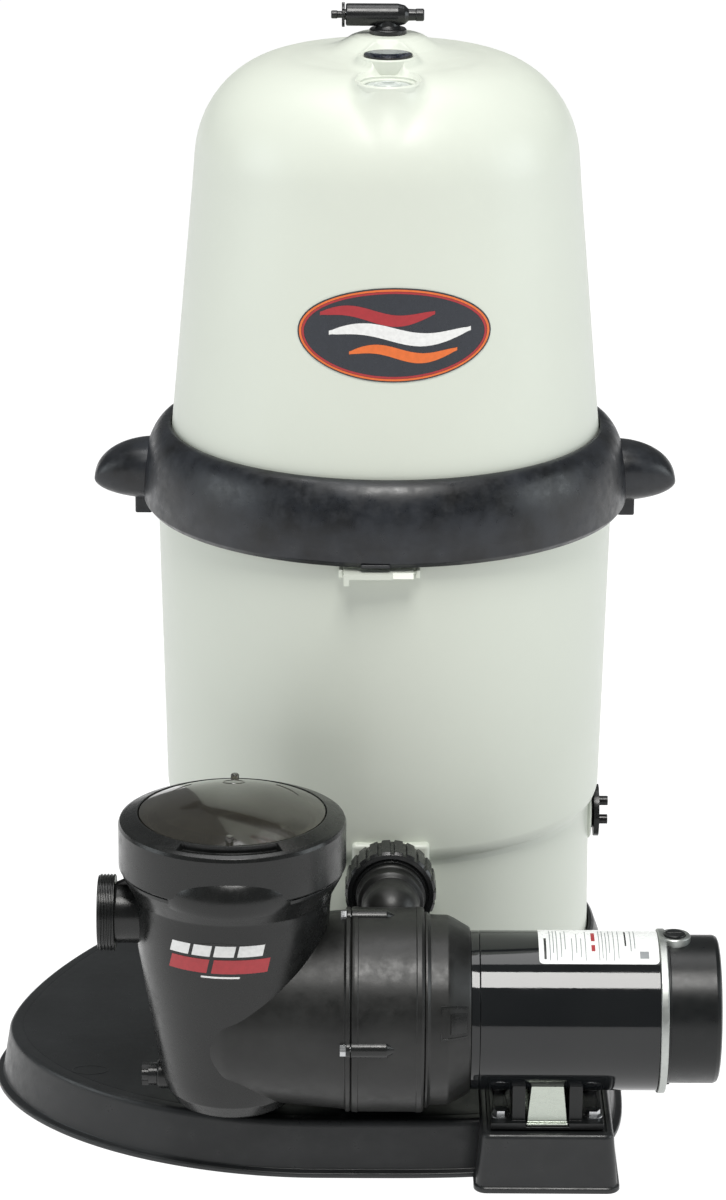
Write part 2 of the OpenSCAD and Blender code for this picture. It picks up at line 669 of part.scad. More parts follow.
module impeller() color("#3a3a3e") on_shaft() difference() {
    union() {
        translate([0, 0, -10]) cylinder(r = 56, h = 3);
        translate([0, 0, 5]) cylinder(r = 56, h = 3);
        translate([0, 0, -19]) tube(27.5, 24, 10);
        translate([0, 0, -8]) cylinder(r = 12, h = 22);
        intersection() {
            ring_of(6, 34) translate([0, -18, -8]) tube(31, 28, 14);
            translate([0, 0, -8]) cylinder(r = 55, h = 14);
        }
    }
    translate([0, 0, -12]) cylinder(r = 10, h = 5.1);
    translate([0, 0, -8]) cylinder(r = shaft_r + 0.02, h = 30);
}

module seal_plate() color("#1f1f21") on_shaft() difference() {
    union() {
        translate([0, 0, 27]) cylinder(r = 79.6, h = 9);
        translate([0, 0, casing_end_x - 0.1]) cylinder(r = 84, h = 4);
        translate([0, 0, 24]) cylinder(r = 26, h = 20);
    }
    translate([0, 0, 20]) cylinder(r = 17.2, h = 40);
    translate([0, 0, 29.4]) tube(85, 75.9, 4.2);
}

module shaft_seal() color("#b9a58a") on_shaft() difference() {
    union() {
        translate([0, 0, 26]) cylinder(r = 17, h = 9);
        translate([0, 0, 20]) cylinder(r = 13.5, h = 7);
    }
    translate([0, 0, 10]) cylinder(r = shaft_r + running_gap, h = 40);
}

module motor_bracket() color("#1b1b1d") difference() {
    revolve_x([[0, casing_end_x], [volute_r - 4.5, casing_end_x], [volute_r - 4.5, casing_end_x + 3],
        [85, casing_end_x + 5], [84.5, 57], [82, 62], [74, bracket_end_x - 1], [73, bracket_end_x], [0, bracket_end_x]]);
    on_shaft() translate([0, 0, casing_end_x - 1]) cylinder(r = 84.1, h = 5.1);
    on_shaft() translate([0, 0, casing_end_x + 3]) cylinder(r = 66, h = 30);
    on_shaft() translate([0, 0, 50]) cylinder(r = 42, h = 40);
    place() translate([52, -pump_y - 95, pump_z + 6]) cube([22, 30, 26]);
}

// ---- motor -------------------------------------------------------------------------------------

module motor_shaft() color("#c4c6c8") on_shaft() translate([0, 0, -7]) cylinder(r = shaft_r, h = 254);

module rotor_core() color("#8d8f93") on_shaft() difference() {
    translate([0, 0, 113]) cylinder(r = 41, h = 94);
    translate([0, 0, 100]) cylinder(r = shaft_r + 0.02, h = 140);
}

module stator_core() color("#6f7175") on_shaft() difference() {
    translate([0, 0, 115]) cylinder(r = motor_r - 3.6, h = 90);
    translate([0, 0, 110]) cylinder(r = 41.8, h = 100);
    ring_of(4, through_bolt_r, 45) translate([0, 0, 110]) cylinder(r = 3, h = 100);
    ring_of(12, 46, 15) translate([0, 0, 110]) cylinder(r = 2.6, h = 100, $fn = 24);
}

module stator_winding() color("#b4622d") on_shaft() for (z = [98, 205.1]) translate([0, 0, z]) difference() {
    cylinder(r = 53.5, h = 16.9);
    translate([0, 0, -1]) cylinder(r = 43.5, h = 20);
}

module bearing(z) on_shaft() translate([0, 0, z]) difference() {
    cylinder(r = 17.5, h = 11);
    translate([0, 0, -1]) cylinder(r = shaft_r + running_gap, h = 13);
    for (face = [-1, 10]) translate([0, 0, face]) tube(14.6, 11.2, 2);
}

module front_bearing() color("#b8babc") bearing(82);

module rear_bearing() color("#b8babc") bearing(237);

module cooling_fan() color("#26272a") on_shaft() difference() {
    union() {
        translate([0, 0, 224.5]) cylinder(r = 12, h = 9);
        translate([0, 0, 224.5]) cylinder(r = 40, h = 1.6);
        ring_of(8, 0) translate([9, -0.9, 224.5]) cube([30, 1.8, 8.5]);
    }
    translate([0, 0, 220]) cylinder(r = shaft_r + 0.02, h = 20);
}

module front_bell() color("#a9abad") on_shaft() difference() {
    union() {
        translate([0, 0, bracket_end_x + 0.1]) cylinder(r = motor_r - 0.2, h = 7.8);
        translate([0, 0, bracket_end_x + 0.1]) cylinder(r = 23, h = 16);
        translate([0, 0, bracket_end_x + 5]) tube(motor_r - 3.6, motor_r - 6, 7);
    }
    translate([0, 0, 82]) cylinder(r = 17.55, h = 20);
    translate([0, 0, 70]) cylinder(r = 10, h = 30);
    ring_of(4, through_bolt_r, 45) translate([0, 0, 70]) cylinder(r = 2.45, h = 30);
}

module motor_shell() color("#0d0d0f") on_shaft() translate([0, 0, 85])
    tube(motor_r, motor_r - 3.5, shell_end_x - 85);

module rear_bell() color("#b7b9bb") difference() {
    union() {
        on_shaft() translate([0, 0, shell_end_x + 0.05]) cylinder(r = motor_r + 2.2, h = bell_end_x - shell_end_x);
        on_shaft() translate([0, 0, 234]) cylinder(r = 23, h = 12);
        place() translate([258, -pump_y, pump_z + 52]) cylinder(r = 14.5, h = 21.5);
    }
    on_shaft() translate([0, 0, 230]) cylinder(r = 17.55, h = 18);
    on_shaft() ring_of(4, through_bolt_r, 45) translate([0, 0, 230]) cylinder(r = 2.45, h = 30);
    place() translate([258, -pump_y, pump_z + 55]) cylinder(r = 10.1, h = 30);
}

module through_bolts() color("#9a9c9e") on_shaft() ring_of(4, through_bolt_r, 45) {
    translate([0, 0, 79]) cylinder(r = 2.4, h = bell_end_x - 78);
    translate([0, 0, bell_end_x + 0.1]) cylinder(r = 4.2, h = 3.4, $fn = 6);
}

module end_cover() color("#17171a") difference() {
    place() translate([bell_end_x + 0.1, -pump_y, pump_z + 2]) rotate([0, 90, 0]) rotate_extrude()
        polygon([[0, 0], [67, 0], [67, 1], [66, 2], [66, 43.4], [64.5, 46.4], [62, 47.3], [0, 47.3]]);
    place() rod_x(63.4, bell_end_x - 1, motor_end_x - 3, -pump_y, pump_z + 2);
    place() translate([258, -pump_y, pump_z + 40]) cylinder(r = 14.9, h = 40);
}

module conduit_plug() color("#19191b") place() translate([258, -pump_y, pump_z + 62]) {
    cylinder(r = 10, h = 11.6);
    difference() {
        translate([0, 0, 11.55]) cylinder(r = 11.6, h = 2.2);
        translate([-9, -1.2, 12.6]) cube([18, 2.4, 3]);
    }
}

module rating_label() color("#f2f2f0") on_shaft() translate([0, 0, 137]) rotate([0, 0, 150])
    rotate_extrude(angle = 62) translate([motor_r + 0.06, 0]) square([0.4, 106]);

module motor_saddle() color("#161618") place() difference() {
    union() {
        translate([pedestal_x - 50, -394, pedestal_z + 0.05]) cube([100, 108, 6]);
        for (x = [-31, 19.5]) translate([pedestal_x + x, -388, pedestal_z + 4]) cube([11.5, 96, 44]);
    }
    rod_x(motor_r + 0.1, pedestal_x - 80, pedestal_x + 80, -pump_y, pump_z);
    at_foot_bolts() translate([0, 0, pedestal_z - 1]) cylinder(r = 4.2, h = 60);
    translate([pedestal_x - 19, -400, pedestal_z + 2.5]) cube([38, 120, 40]);
}

// Upright plates of the foot bracket, narrower at the top.
module bracket_upright(y) translate([pedestal_x, y, 0]) rotate([90, 0, 0]) linear_extrude(12)
    polygon([[-18, pedestal_z + 3], [18, pedestal_z + 3], [14, pump_z - 50], [-14, pump_z - 50]]);

module foot_bracket() color("#dfe1e0") place() difference() {
    union() {
        translate([pedestal_x - 18.6, -392, pedestal_z + 2.6]) cube([37.2, 104, 2.4]);
        bracket_upright(-376);
        bracket_upright(-292);
    }
    rod_x(motor_r + 0.1, pedestal_x - 80, pedestal_x + 80, -pump_y, pump_z);
}

module foot_bolts() color("#8e9092") place() at_foot_bolts() {
    translate([0, 0, pedestal_z - 7]) cylinder(r = 4, h = 14);
    translate([0, 0, pedestal_z + 6.1]) cylinder(r = 8.5, h = 1.6);
    translate([0, 0, pedestal_z + 7.6]) cylinder(r = 6.6, h = 5.4, $fn = 6);
}

platform();
tank_screws();
tank_body();
tank_oring();
inlet_fitting();
outlet_fitting();
outlet_manifold();
drain_seal();
drain_plug();
ring_latch();
tank_head();
badge();
relief_body();
relief_screw();
gauge_case();
gauge_face();
gauge_needle();
gauge_lens();
port_plug();
lock_ring();
cartridge_pleats();
cartridge_core();
cartridge_top_cap();
cartridge_bottom_cap();
strainer_housing();
volute_casing();
housing_oring();
housing_bolts();
pot_label();
pot_drain_plug();
strainer_basket();
lid_oring();
pot_lid();
lid_ring();
union_nut();
union_sleeve();
diffuser();
impeller();
seal_plate();
shaft_seal();
motor_bracket();
motor_shaft();
rotor_core();
stator_core();
stator_winding();
front_bearing();
rear_bearing();
cooling_fan();
front_bell();
motor_shell();
rear_bell();
through_bolts();
end_cover();
conduit_plug();
rating_label();
motor_saddle();
foot_bracket();
foot_bolts();
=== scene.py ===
"""Looks of a free-standing pool filter: tank, lock ring, strainer-pot pump and motor on one platform."""

import math

import bmesh
import bpy
from mathutils import Matrix, Vector


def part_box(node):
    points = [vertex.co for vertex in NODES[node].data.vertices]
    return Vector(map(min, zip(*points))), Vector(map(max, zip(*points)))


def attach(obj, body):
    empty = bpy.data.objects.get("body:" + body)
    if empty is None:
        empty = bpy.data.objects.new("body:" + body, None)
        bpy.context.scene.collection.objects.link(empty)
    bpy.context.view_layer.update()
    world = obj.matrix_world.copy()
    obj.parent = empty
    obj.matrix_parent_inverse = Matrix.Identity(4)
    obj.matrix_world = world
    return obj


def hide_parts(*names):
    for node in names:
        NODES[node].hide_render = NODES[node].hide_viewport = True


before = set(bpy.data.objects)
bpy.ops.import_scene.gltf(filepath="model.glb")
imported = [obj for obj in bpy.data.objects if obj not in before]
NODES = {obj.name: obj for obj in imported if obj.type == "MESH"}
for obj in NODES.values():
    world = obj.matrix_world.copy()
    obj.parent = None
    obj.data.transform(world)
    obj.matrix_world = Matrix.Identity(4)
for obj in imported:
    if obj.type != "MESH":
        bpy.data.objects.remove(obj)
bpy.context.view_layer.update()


def centre(node):
    low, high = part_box(node)
    return (low + high) / 2


# Lengths below are in millimetres from the tank's axis at floor level; row() turns them into the frame.
TANK = centre("tank_oring")
POT_X, PUMP_Y, PUMP_Z = -134.0, -340.0, 146.0  # the pot's upright axis; the pump and motor's level axis
CUP_Y, GAUGE_Y = -118.0, -63.0  # upright axes of the head's cup and of its gauge


def row(x, y, z):
    return Vector((TANK.x + x / 1000, TANK.y + y / 1000, z / 1000))


# ---- meshes ----


def piece(name, verts, faces, body, material, replaces=(), angle=34, bevel=0.0, parts=2, slot=None):
    """A mesh object from points in millimetres, smooth except at edges sharper than angle."""
    mesh = bpy.data.meshes.new(name)
    mesh.from_pydata([row(*v) for v in verts], [], faces)
    bm = bmesh.new()
    bm.from_mesh(mesh)
    bmesh.ops.remove_doubles(bm, verts=bm.verts, dist=2e-6)
    bmesh.ops.recalc_face_normals(bm, faces=bm.faces)
    bm.to_mesh(mesh)
    bm.free()
    mesh.polygons.foreach_set("use_smooth", [True] * len(mesh.polygons))
    mesh.set_sharp_from_angle(angle=math.radians(angle))
    obj = bpy.data.objects.new(name, mesh)
    bpy.context.scene.collection.objects.link(obj)
    mesh.materials.append(material)
    if bevel:
        mod = obj.modifiers.new("edges", "BEVEL")
        mod.width = bevel / 1000
        mod.segments = parts
        mod.limit_method = "ANGLE"
        mod.angle_limit = math.radians(angle)
    weigh = obj.modifiers.new("normals", "WEIGHTED_NORMAL")
    weigh.keep_sharp = True
    weigh.weight = 90
    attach(obj, body)
    if replaces:
        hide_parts(*replaces)
    return obj


def fillet(points, radius=1.5, steps=4):
    """The open or closed 2-D line with its corners rounded; a point (x, y, r) sets its own radius."""
    out = []
    n = len(points)
    for i, p in enumerate(points):
        r = p[2] if len(p) > 2 else radius
        if i in (0, n - 1) or r <= 0:
            out.append((p[0], p[1]))
            continue
        a, b, c = Vector(points[i - 1][:2]), Vector(p[:2]), Vector(points[i + 1][:2])
        u, v = a - b, c - b
        if u.length < 1e-6 or v.length < 1e-6:
            out.append((p[0], p[1]))
            continue
        half = u.angle(v) / 2
        if half > math.radians(86):
            out.append((p[0], p[1]))
            continue
        reach = min(r / math.tan(half), u.length * 0.45, v.length * 0.45)
        p0, p1 = b + u.normalized() * reach, b + v.normalized() * reach
        for k in range(steps + 1):
            t = k / steps
            q = p0 * (1 - t) ** 2 + b * 2 * t * (1 - t) + p1 * t**2
            out.append((q.x, q.y))
    return out


def spun(profile, axis="z", seg=160, x=0.0, y=0.0, z=0.0):
    """Vertices and faces of a profile [(radius, height)] turned about a Z, X or Y axis through a point."""
    verts, faces = [], []
    for i in range(seg):
        a = math.radians(360.0 * i / seg)
        for r, h in profile:
            u, v = r * math.cos(a), r * math.sin(a)
            if axis == "z":
                verts.append((x + u, y + v, z + h))
            elif axis == "x":
                verts.append((x + h, y + u, z + v))
            else:
                verts.append((x + v, y + h, z + u))
    m = len(profile)
    for i in range(seg):
        j = (i + 1) % seg
        for k in range(m - 1):
            faces.append((i * m + k, j * m + k, j * m + k + 1, i * m + k + 1))
    return verts, faces


def join(*parts):
    verts, faces = [], []
    for v, f in parts:
        base = len(verts)
        verts += list(v)
        faces += [tuple(base + i for i in face) for face in f]
    return verts, faces


def moved(part, matrix):
    return [tuple(matrix @ Vector(v)) for v in part[0]], part[1]


def block(x0, x1, y0, y1, z0, z1):
    """A box that the bevel modifier rounds."""
    v = [(x, y, z) for x in (x0, x1) for y in (y0, y1) for z in (z0, z1)]
    return v, [(0, 1, 3, 2), (4, 6, 7, 5), (0, 4, 5, 1), (2, 3, 7, 6), (0, 2, 6, 4), (1, 5, 7, 3)]


def loft(rings, cap_low=True, cap_high=True, closed=True):
    """Faces over rings of equal length, each a list of 3-D points."""
    n = len(rings[0])
    verts = [p for ring in rings for p in ring]
    faces = []
    for k in range(len(rings) - 1):
        for i in range(n if closed else n - 1):
            j = (i + 1) % n
            faces.append((k * n + i, k * n + j, (k + 1) * n + j, (k + 1) * n + i))
    if cap_low:
        faces.append(tuple(range(n))[::-1])
    if cap_high:
        faces.append(tuple(range((len(rings) - 1) * n, len(rings) * n)))
    return verts, faces


def arc(cx, cy, rx, ry, a0, a1, n=12):
    turns = [math.radians(a0 + (a1 - a0) * i / n) for i in range(n + 1)]
    return [(cx + rx * math.cos(a), cy + ry * math.sin(a)) for a in turns]


def oval(a, b, n, cx=0.0, cy=0.0):
    return [(cx + a * math.cos(2 * math.pi * i / n), cy + b * math.sin(2 * math.pi * i / n)) for i in range(n)]


# ---- materials ----


class Maker:
    """Builds a node material on the Principled shader from object coordinates in metres."""

    def __init__(self, name):
        self.m = bpy.data.materials.new(name)
        self.m.use_nodes = True
        self.t = self.m.node_tree
        self.bsdf = self.t.nodes["Principled BSDF"]
        self.coord = self.t.nodes.new("ShaderNodeTexCoord")

    def node(self, kind, **inputs):
        n = self.t.nodes.new(kind)
        for k, v in inputs.items():
            n.inputs[k.replace("_", " ")].default_value = v
        return n

    def link(self, a, b):
        self.t.links.new(a, b)

    def noise(self, scale, detail=4.0, rough=0.55, stretch=None):
        n = self.node("ShaderNodeTexNoise", Scale=scale, Detail=detail, Roughness=rough)
        if stretch:
            m = self.node("ShaderNodeMapping", Scale=stretch)
            self.link(self.coord.outputs["Object"], m.inputs["Vector"])
            self.link(m.outputs["Vector"], n.inputs["Vector"])
        else:
            self.link(self.coord.outputs["Object"], n.inputs["Vector"])
        return n.outputs["Fac"]

    def ramp(self, fac, stops):
        r = self.t.nodes.new("ShaderNodeValToRGB")
        e = r.color_ramp.elements
        while len(e) < len(stops):
            e.new(0.5)
        for k, (pos, c) in enumerate(stops):
            e[k].position = pos
            e[k].color = (*c, 1)
        self.link(fac, r.inputs["Fac"])
        return r.outputs["Color"]

    def mix(self, fac, a, b):
        n = self.t.nodes.new("ShaderNodeMix")
        n.data_type = "RGBA"
        for sock, value in ((n.inputs[0], fac), (n.inputs[6], a), (n.inputs[7], b)):
            if hasattr(value, "links") or hasattr(value, "is_linked"):
                self.link(value, sock)
            elif isinstance(value, (int, float)):
                sock.default_value = value
            else:
                sock.default_value = (*value, 1)
        return n.outputs[2]

    def span(self, fac, low, high, a=0.3, b=0.7):
        n = self.node("ShaderNodeMapRange")
        n.inputs["From Min"].default_value = a
        n.inputs["From Max"].default_value = b
        n.inputs["To Min"].default_value = low
        n.inputs["To Max"].default_value = high
        self.link(fac, n.inputs["Value"])
        return n.outputs["Result"]

    def math(self, op, a, b=None):
        n = self.t.nodes.new("ShaderNodeMath")
        n.operation = op
        for i, v in enumerate((a, b)):
            if v is None:
                continue
            if isinstance(v, (int, float)):
                n.inputs[i].default_value = v
            else:
                self.link(v, n.inputs[i])
        return n.outputs[0]

    def bump(self, fac, strength, distance, under=None):
        b = self.node("ShaderNodeBump", Strength=strength, Distance=distance)
        self.link(fac, b.inputs["Height"])
        if under is not None:
            self.link(under, b.inputs["Normal"])
        return b.outputs["Normal"]

    def edges(self):
        """Near 1 on convex edges, where moulded parts rub bright."""
        g = self.t.nodes.new("ShaderNodeNewGeometry")
        return self.span(g.outputs["Pointiness"], 0.0, 1.0, 0.505, 0.56)

    def set(self, **values):
        for k, v in values.items():
            sock = self.bsdf.inputs[k.replace("_", " ")]
            if hasattr(v, "is_linked") and not isinstance(v, (int, float, tuple, list)):
                self.link(v, sock)
            else:
                sock.default_value = (*v, 1) if isinstance(v, tuple) and len(v) == 3 else v
        return self.m


def moulded(name, colour, rough=(0.34, 0.5), mottle=0.16, grain=0.25, wear=0.12, spec=0.5, cloud=14.0):
    """Moulded polymer: broad clouding, small flow marks, fine grain and slightly rubbed edges."""
    k = Maker(name)
    dark = tuple(c * (1 - mottle) for c in colour)
    light = tuple(min(1.0, c * (1 + mottle)) for c in colour)
    tone = k.ramp(k.noise(cloud, 5), [(0.32, dark), (0.68, light)])
    flow = k.noise(90, 6, 0.65)
    tone = k.mix(k.span(flow, 0.0, 0.5, 0.52, 0.75), tone, light)
    rub = tuple(min(1.0, c + 0.05 + c * 0.6) for c in colour)
    tone = k.mix(k.math("MULTIPLY", k.edges(), wear), tone, rub)
    fine = k.bump(k.noise(1400, 2), grain, 0.00012)
    broad = k.bump(k.noise(120, 5, 0.6), 0.12, 0.0004, fine)
    k.set(Base_Color=tone, Roughness=k.span(flow, rough[0], rough[1]), Normal=broad, Specular_IOR_Level=spec)
    return k.m


def metal(name, colour, rough=(0.22, 0.36), brush=(1, 1, 40), grain=0.1):
    k = Maker(name)
    lines = k.noise(60, 6, 0.7, stretch=brush)
    tone = k.ramp(lines, [(0.3, tuple(c * 0.82 for c in colour)), (0.7, colour)])
    k.set(Base_Color=tone, Metallic=1.0, Roughness=k.span(lines, rough[0], rough[1]),
          Normal=k.bump(lines, grain, 0.0002))
    return k.m


TANK_WHITE = moulded("tank_polymer", (0.655, 0.690, 0.612), rough=(0.30, 0.40), mottle=0.02, grain=0.10, wear=0.0,
                     spec=0.45, cloud=5.0)
RING_BLACK = moulded("ring_polymer", (0.0100, 0.0115, 0.0145), rough=(0.24, 0.50), mottle=0.75, grain=0.3, wear=0.08,
                     cloud=30.0, spec=0.5)
PUMP_BLACK = moulded("pump_polymer", (0.0085, 0.0090, 0.0088), rough=(0.18, 0.34), mottle=0.3, grain=0.15, wear=0.10,
                     spec=0.42)
VOLUTE_BLACK = moulded("volute_polymer", (0.0095, 0.0098, 0.0092), rough=(0.30, 0.50), mottle=0.45, grain=0.2,
                       wear=0.10,
                       spec=0.45, cloud=20.0)
DECK_BLACK = moulded("platform_polymer", (0.0150, 0.0162, 0.0172), rough=(0.26, 0.44), mottle=0.2, grain=0.28,
                     wear=0.12,
                     spec=0.42)
FITTING_BLACK = moulded("fitting_polymer", (0.0080, 0.0085, 0.0090), rough=(0.20, 0.36), mottle=0.25, wear=0.12)
COVER_BLACK = moulded("cap_polymer", (0.0075, 0.0085, 0.0088), rough=(0.26, 0.38), mottle=0.2, grain=0.2, wear=0.08,
                      spec=0.36)
INNER_WHITE = moulded("natural_polymer", (0.62, 0.63, 0.60), rough=(0.4, 0.55), mottle=0.05)
BASKET_GREY = moulded("basket_polymer", (0.50, 0.51, 0.48), rough=(0.4, 0.55), mottle=0.06)
RUBBER = moulded("seal_rubber", (0.012, 0.012, 0.012), rough=(0.6, 0.8), mottle=0.2, spec=0.3)
CAP_BLUE = moulded("urethane_cap", (0.045, 0.13, 0.32), rough=(0.42, 0.6), mottle=0.12, spec=0.4)
SEAL_FACE = moulded("seal_faces", (0.42, 0.33, 0.25), rough=(0.3, 0.5), mottle=0.1)
STEEL = metal("plated_steel", (0.56, 0.57, 0.58))
SHAFT = metal("ground_steel", (0.62, 0.63, 0.64), rough=(0.12, 0.22), brush=(60, 1, 1))
CORE = metal("steel_sheets", (0.30, 0.31, 0.32), rough=(0.35, 0.5), brush=(160, 1, 1), grain=0.5)
COPPER = metal("copper_wire", (0.72, 0.30, 0.13), rough=(0.25, 0.4), brush=(90, 4, 4), grain=0.8)
BELL = metal("bell_metal", (0.50, 0.52, 0.50), rough=(0.34, 0.5), brush=(3, 3, 3), grain=0.25)
SILVER = moulded("silver_cap", (0.56, 0.60, 0.57), rough=(0.16, 0.26), mottle=0.06, grain=0.05, wear=0.3, cloud=60.0)
BRIGHT = metal("bright_plate", (0.52, 0.56, 0.50), rough=(0.22, 0.38), brush=(2, 2, 9), grain=0.22)


def shell_paint():
    k = Maker("shell_paint")
    peel = k.noise(260, 3)
    tone = k.ramp(k.noise(9, 4), [(0.3, (0.0055, 0.0065, 0.0075)), (0.7, (0.010, 0.011, 0.012))])
    k.set(Base_Color=tone, Roughness=k.span(k.noise(30, 5), 0.035, 0.09), Normal=k.bump(peel, 0.05, 0.0002),
          Specular_IOR_Level=0.52)
    return k.m


def smoked():
    k = Maker("smoked_polymer")
    haze = k.noise(22, 4)
    tone = k.ramp(haze, [(0.3, (0.115, 0.105, 0.085)), (0.7, (0.17, 0.16, 0.13))])
    k.set(Base_Color=tone, Roughness=k.span(k.noise(70, 5), 0.05, 0.14), IOR=1.45,
          Normal=k.bump(k.noise(180, 3), 0.05, 0.0003))
    k.bsdf.inputs["Transmission Weight"].default_value = 0.82
    k.bsdf.inputs["Coat Weight"].default_value = 0.4
    k.bsdf.inputs["Coat Roughness"].default_value = 0.06
    return k.m


def clear():
    k = Maker("clear_lens")
    tone = k.ramp(k.noise(40, 3), [(0.3, (0.16, 0.19, 0.30)), (0.7, (0.24, 0.28, 0.42))])
    k.set(Base_Color=tone, Roughness=k.span(k.noise(90, 4), 0.02, 0.06), IOR=1.45)
    k.bsdf.inputs["Transmission Weight"].default_value = 0.95
    return k.m


def fabric():
    k = Maker("pleated_fabric")
    fibres = k.noise(900, 6, 0.8)
    bands = k.noise(40, 3, stretch=(1, 1, 6))
    tone = k.ramp(bands, [(0.3, (0.74, 0.75, 0.73)), (0.7, (0.86, 0.87, 0.86))])
    tone = k.mix(k.span(fibres, 0.0, 0.35), tone, (0.62, 0.64, 0.64))
    k.set(Base_Color=tone, Roughness=k.span(fibres, 0.78, 0.95), Normal=k.bump(fibres, 0.5, 0.0004))
    k.bsdf.inputs["Sheen Weight"].default_value = 0.25
    return k.m


def paper():
    k = Maker("label_foil")
    tone = k.ramp(k.noise(30, 4), [(0.3, (0.86, 0.88, 0.87)), (0.7, (0.94, 0.95, 0.94))])
    k.set(Base_Color=tone, Roughness=k.span(k.noise(120, 3), 0.22, 0.34), Normal=k.bump(k.noise(500, 3), 0.08, 0.0001))
    return k.m


def ink(name, colour, rough=0.35):
    k = Maker(name)
    tone = k.ramp(k.noise(260, 4), [(0.3, tuple(c * 0.86 for c in colour)), (0.7, colour)])
    k.set(Base_Color=tone, Roughness=k.span(k.noise(150, 3), rough - 0.06, rough + 0.06),
          Normal=k.bump(k.noise(700, 2), 0.06, 0.0001))
    return k.m


SHELL, SMOKED, CLEAR, FABRIC, PAPER = shell_paint(), smoked(), clear(), fabric(), paper()
INK_GREY, INK_RED = ink("ink_grey", (0.28, 0.30, 0.31)), ink("ink_red", (0.42, 0.032, 0.040))
INK_WHITE, INK_ORANGE = ink("ink_white", (0.86, 0.86, 0.85)), ink("ink_orange", (0.80, 0.17, 0.035))
INK_SLATE, INK_DARK = ink("ink_slate", (0.030, 0.034, 0.043), 0.28), ink("ink_dark", (0.020, 0.020, 0.021), 0.3)
DIAL = ink("dial_dark", (0.020, 0.028, 0.055), 0.2)

# ---- carried-over CAD nodes ----

CAD_LOOK = {
    "platform": DECK_BLACK, "tank_screws": STEEL, "tank_body": TANK_WHITE, "tank_oring": RUBBER,
    "inlet_fitting": FITTING_BLACK, "outlet_fitting": FITTING_BLACK, "outlet_manifold": INNER_WHITE,
    "drain_seal": RUBBER, "drain_plug": FITTING_BLACK, "ring_latch": TANK_WHITE, "tank_head": TANK_WHITE,
    "badge": INK_SLATE, "relief_body": FITTING_BLACK, "relief_screw": FITTING_BLACK, "gauge_case": FITTING_BLACK,
    "gauge_face": DIAL, "gauge_needle": INK_WHITE, "gauge_lens": CLEAR, "port_plug": SILVER,
    "lock_ring": RING_BLACK, "cartridge_pleats": FABRIC, "cartridge_core": INNER_WHITE,
    "cartridge_top_cap": CAP_BLUE, "cartridge_bottom_cap": CAP_BLUE, "strainer_housing": PUMP_BLACK,
    "volute_casing": PUMP_BLACK, "housing_oring": RUBBER, "housing_bolts": STEEL, "pot_label": INK_DARK,
    "pot_drain_plug": FITTING_BLACK, "strainer_basket": BASKET_GREY, "lid_oring": RUBBER, "pot_lid": SMOKED,
    "lid_ring": PUMP_BLACK, "union_nut": FITTING_BLACK, "union_sleeve": FITTING_BLACK, "diffuser": PUMP_BLACK,
    "impeller": PUMP_BLACK, "seal_plate": PUMP_BLACK, "shaft_seal": SEAL_FACE, "motor_bracket": PUMP_BLACK,
    "motor_shaft": SHAFT, "rotor_core": CORE, "stator_core": CORE, "stator_winding": COPPER,
    "front_bearing": SHAFT, "rear_bearing": SHAFT, "cooling_fan": COVER_BLACK, "front_bell": SHELL,
    "motor_shell": SHELL, "rear_bell": BELL, "through_bolts": STEEL, "end_cover": COVER_BLACK,
    "conduit_plug": COVER_BLACK, "rating_label": PAPER, "motor_saddle": COVER_BLACK, "foot_bracket": BRIGHT,
    "foot_bolts": STEEL,
}
NO_BEVEL = {"cartridge_pleats", "tank_oring", "housing_oring", "lid_oring", "gauge_needle"}
for name, material in CAD_LOOK.items():
    obj = NODES[name]
    obj.data.materials.clear()
    obj.data.materials.append(material)
    obj.data.polygons.foreach_set("material_index", [0] * len(obj.data.polygons))
    obj.data.polygons.foreach_set("use_smooth", [name != "cartridge_pleats"] * len(obj.data.polygons))
    obj.modifiers.new("weld", "WELD").merge_threshold = 2e-6
    if name in NO_BEVEL:
        split = obj.modifiers.new("split", "EDGE_SPLIT")
        split.split_angle = math.radians(30)
    else:
        edge = obj.modifiers.new("edges", "BEVEL")
        edge.width = 0.0006
        edge.segments = 2
        edge.limit_method = "ANGLE"
        edge.angle_limit = math.radians(38)
        normal = obj.modifiers.new("normals", "WEIGHTED_NORMAL")
        normal.keep_sharp = True

# ---- platform ----

PEDESTAL = (146.0, -343.0)  # the middle of the block under the motor


def in_plan(x, y, off):
    """True inside the platform's outline, an egg joined to a disc under the tank, grown by off."""
    if math.hypot(x, y) < 226 + off:
        return True
    dx, dy = x + 60, y + 150
    a = (290 if dx < 0 else 270) + off
    b = (219 if dy < 0 else 376) + off
    power = 4 if dx > 0 and dy < 0 else (1.9 if dy < 0 else 1.55)
    return abs(dx / a) ** power + abs(dy / b) ** power < 1


def plan_ring(off, z, count=300):
    """The platform's outline, found by halving along rays and smoothed twice."""
    cx, cy, ring = -30.0, -75.0, []
    for i in range(count):
        a = 2 * math.pi * i / count
        low, high = 0.0, 500.0
        for _ in range(24):
            mid_r = (low + high) / 2
            inside = in_plan(cx + mid_r * math.cos(a), cy + mid_r * math.sin(a), off)
            low, high = (mid_r, high) if inside else (low, mid_r)
        ring.append((cx + low * math.cos(a), cy + low * math.sin(a), z))
    for _ in range(2):
        ring = [tuple((ring[k - 1][j] + 2 * ring[k][j] + ring[(k + 1) % count][j]) / 4 for j in range(3))
                for k in range(count)]
    return ring


def slab_ring(off, z, corner=8.0):
    """The motor block's rounded outline, grown by off."""
    cx, cy = PEDESTAL
    hx, hy, r = 58 + off, 62 + off, max(corner + off * 0.5, 2.0)
    ring = []
    for q, (sx, sy) in enumerate(((1, 1), (-1, 1), (-1, -1), (1, -1))):
        for k in range(9):
            a = math.radians(q * 90 + k * 11.25)
            ring.append((cx + sx * (hx - r) + r * math.cos(a), cy + sy * (hy - r) + r * math.sin(a), z))
    return ring


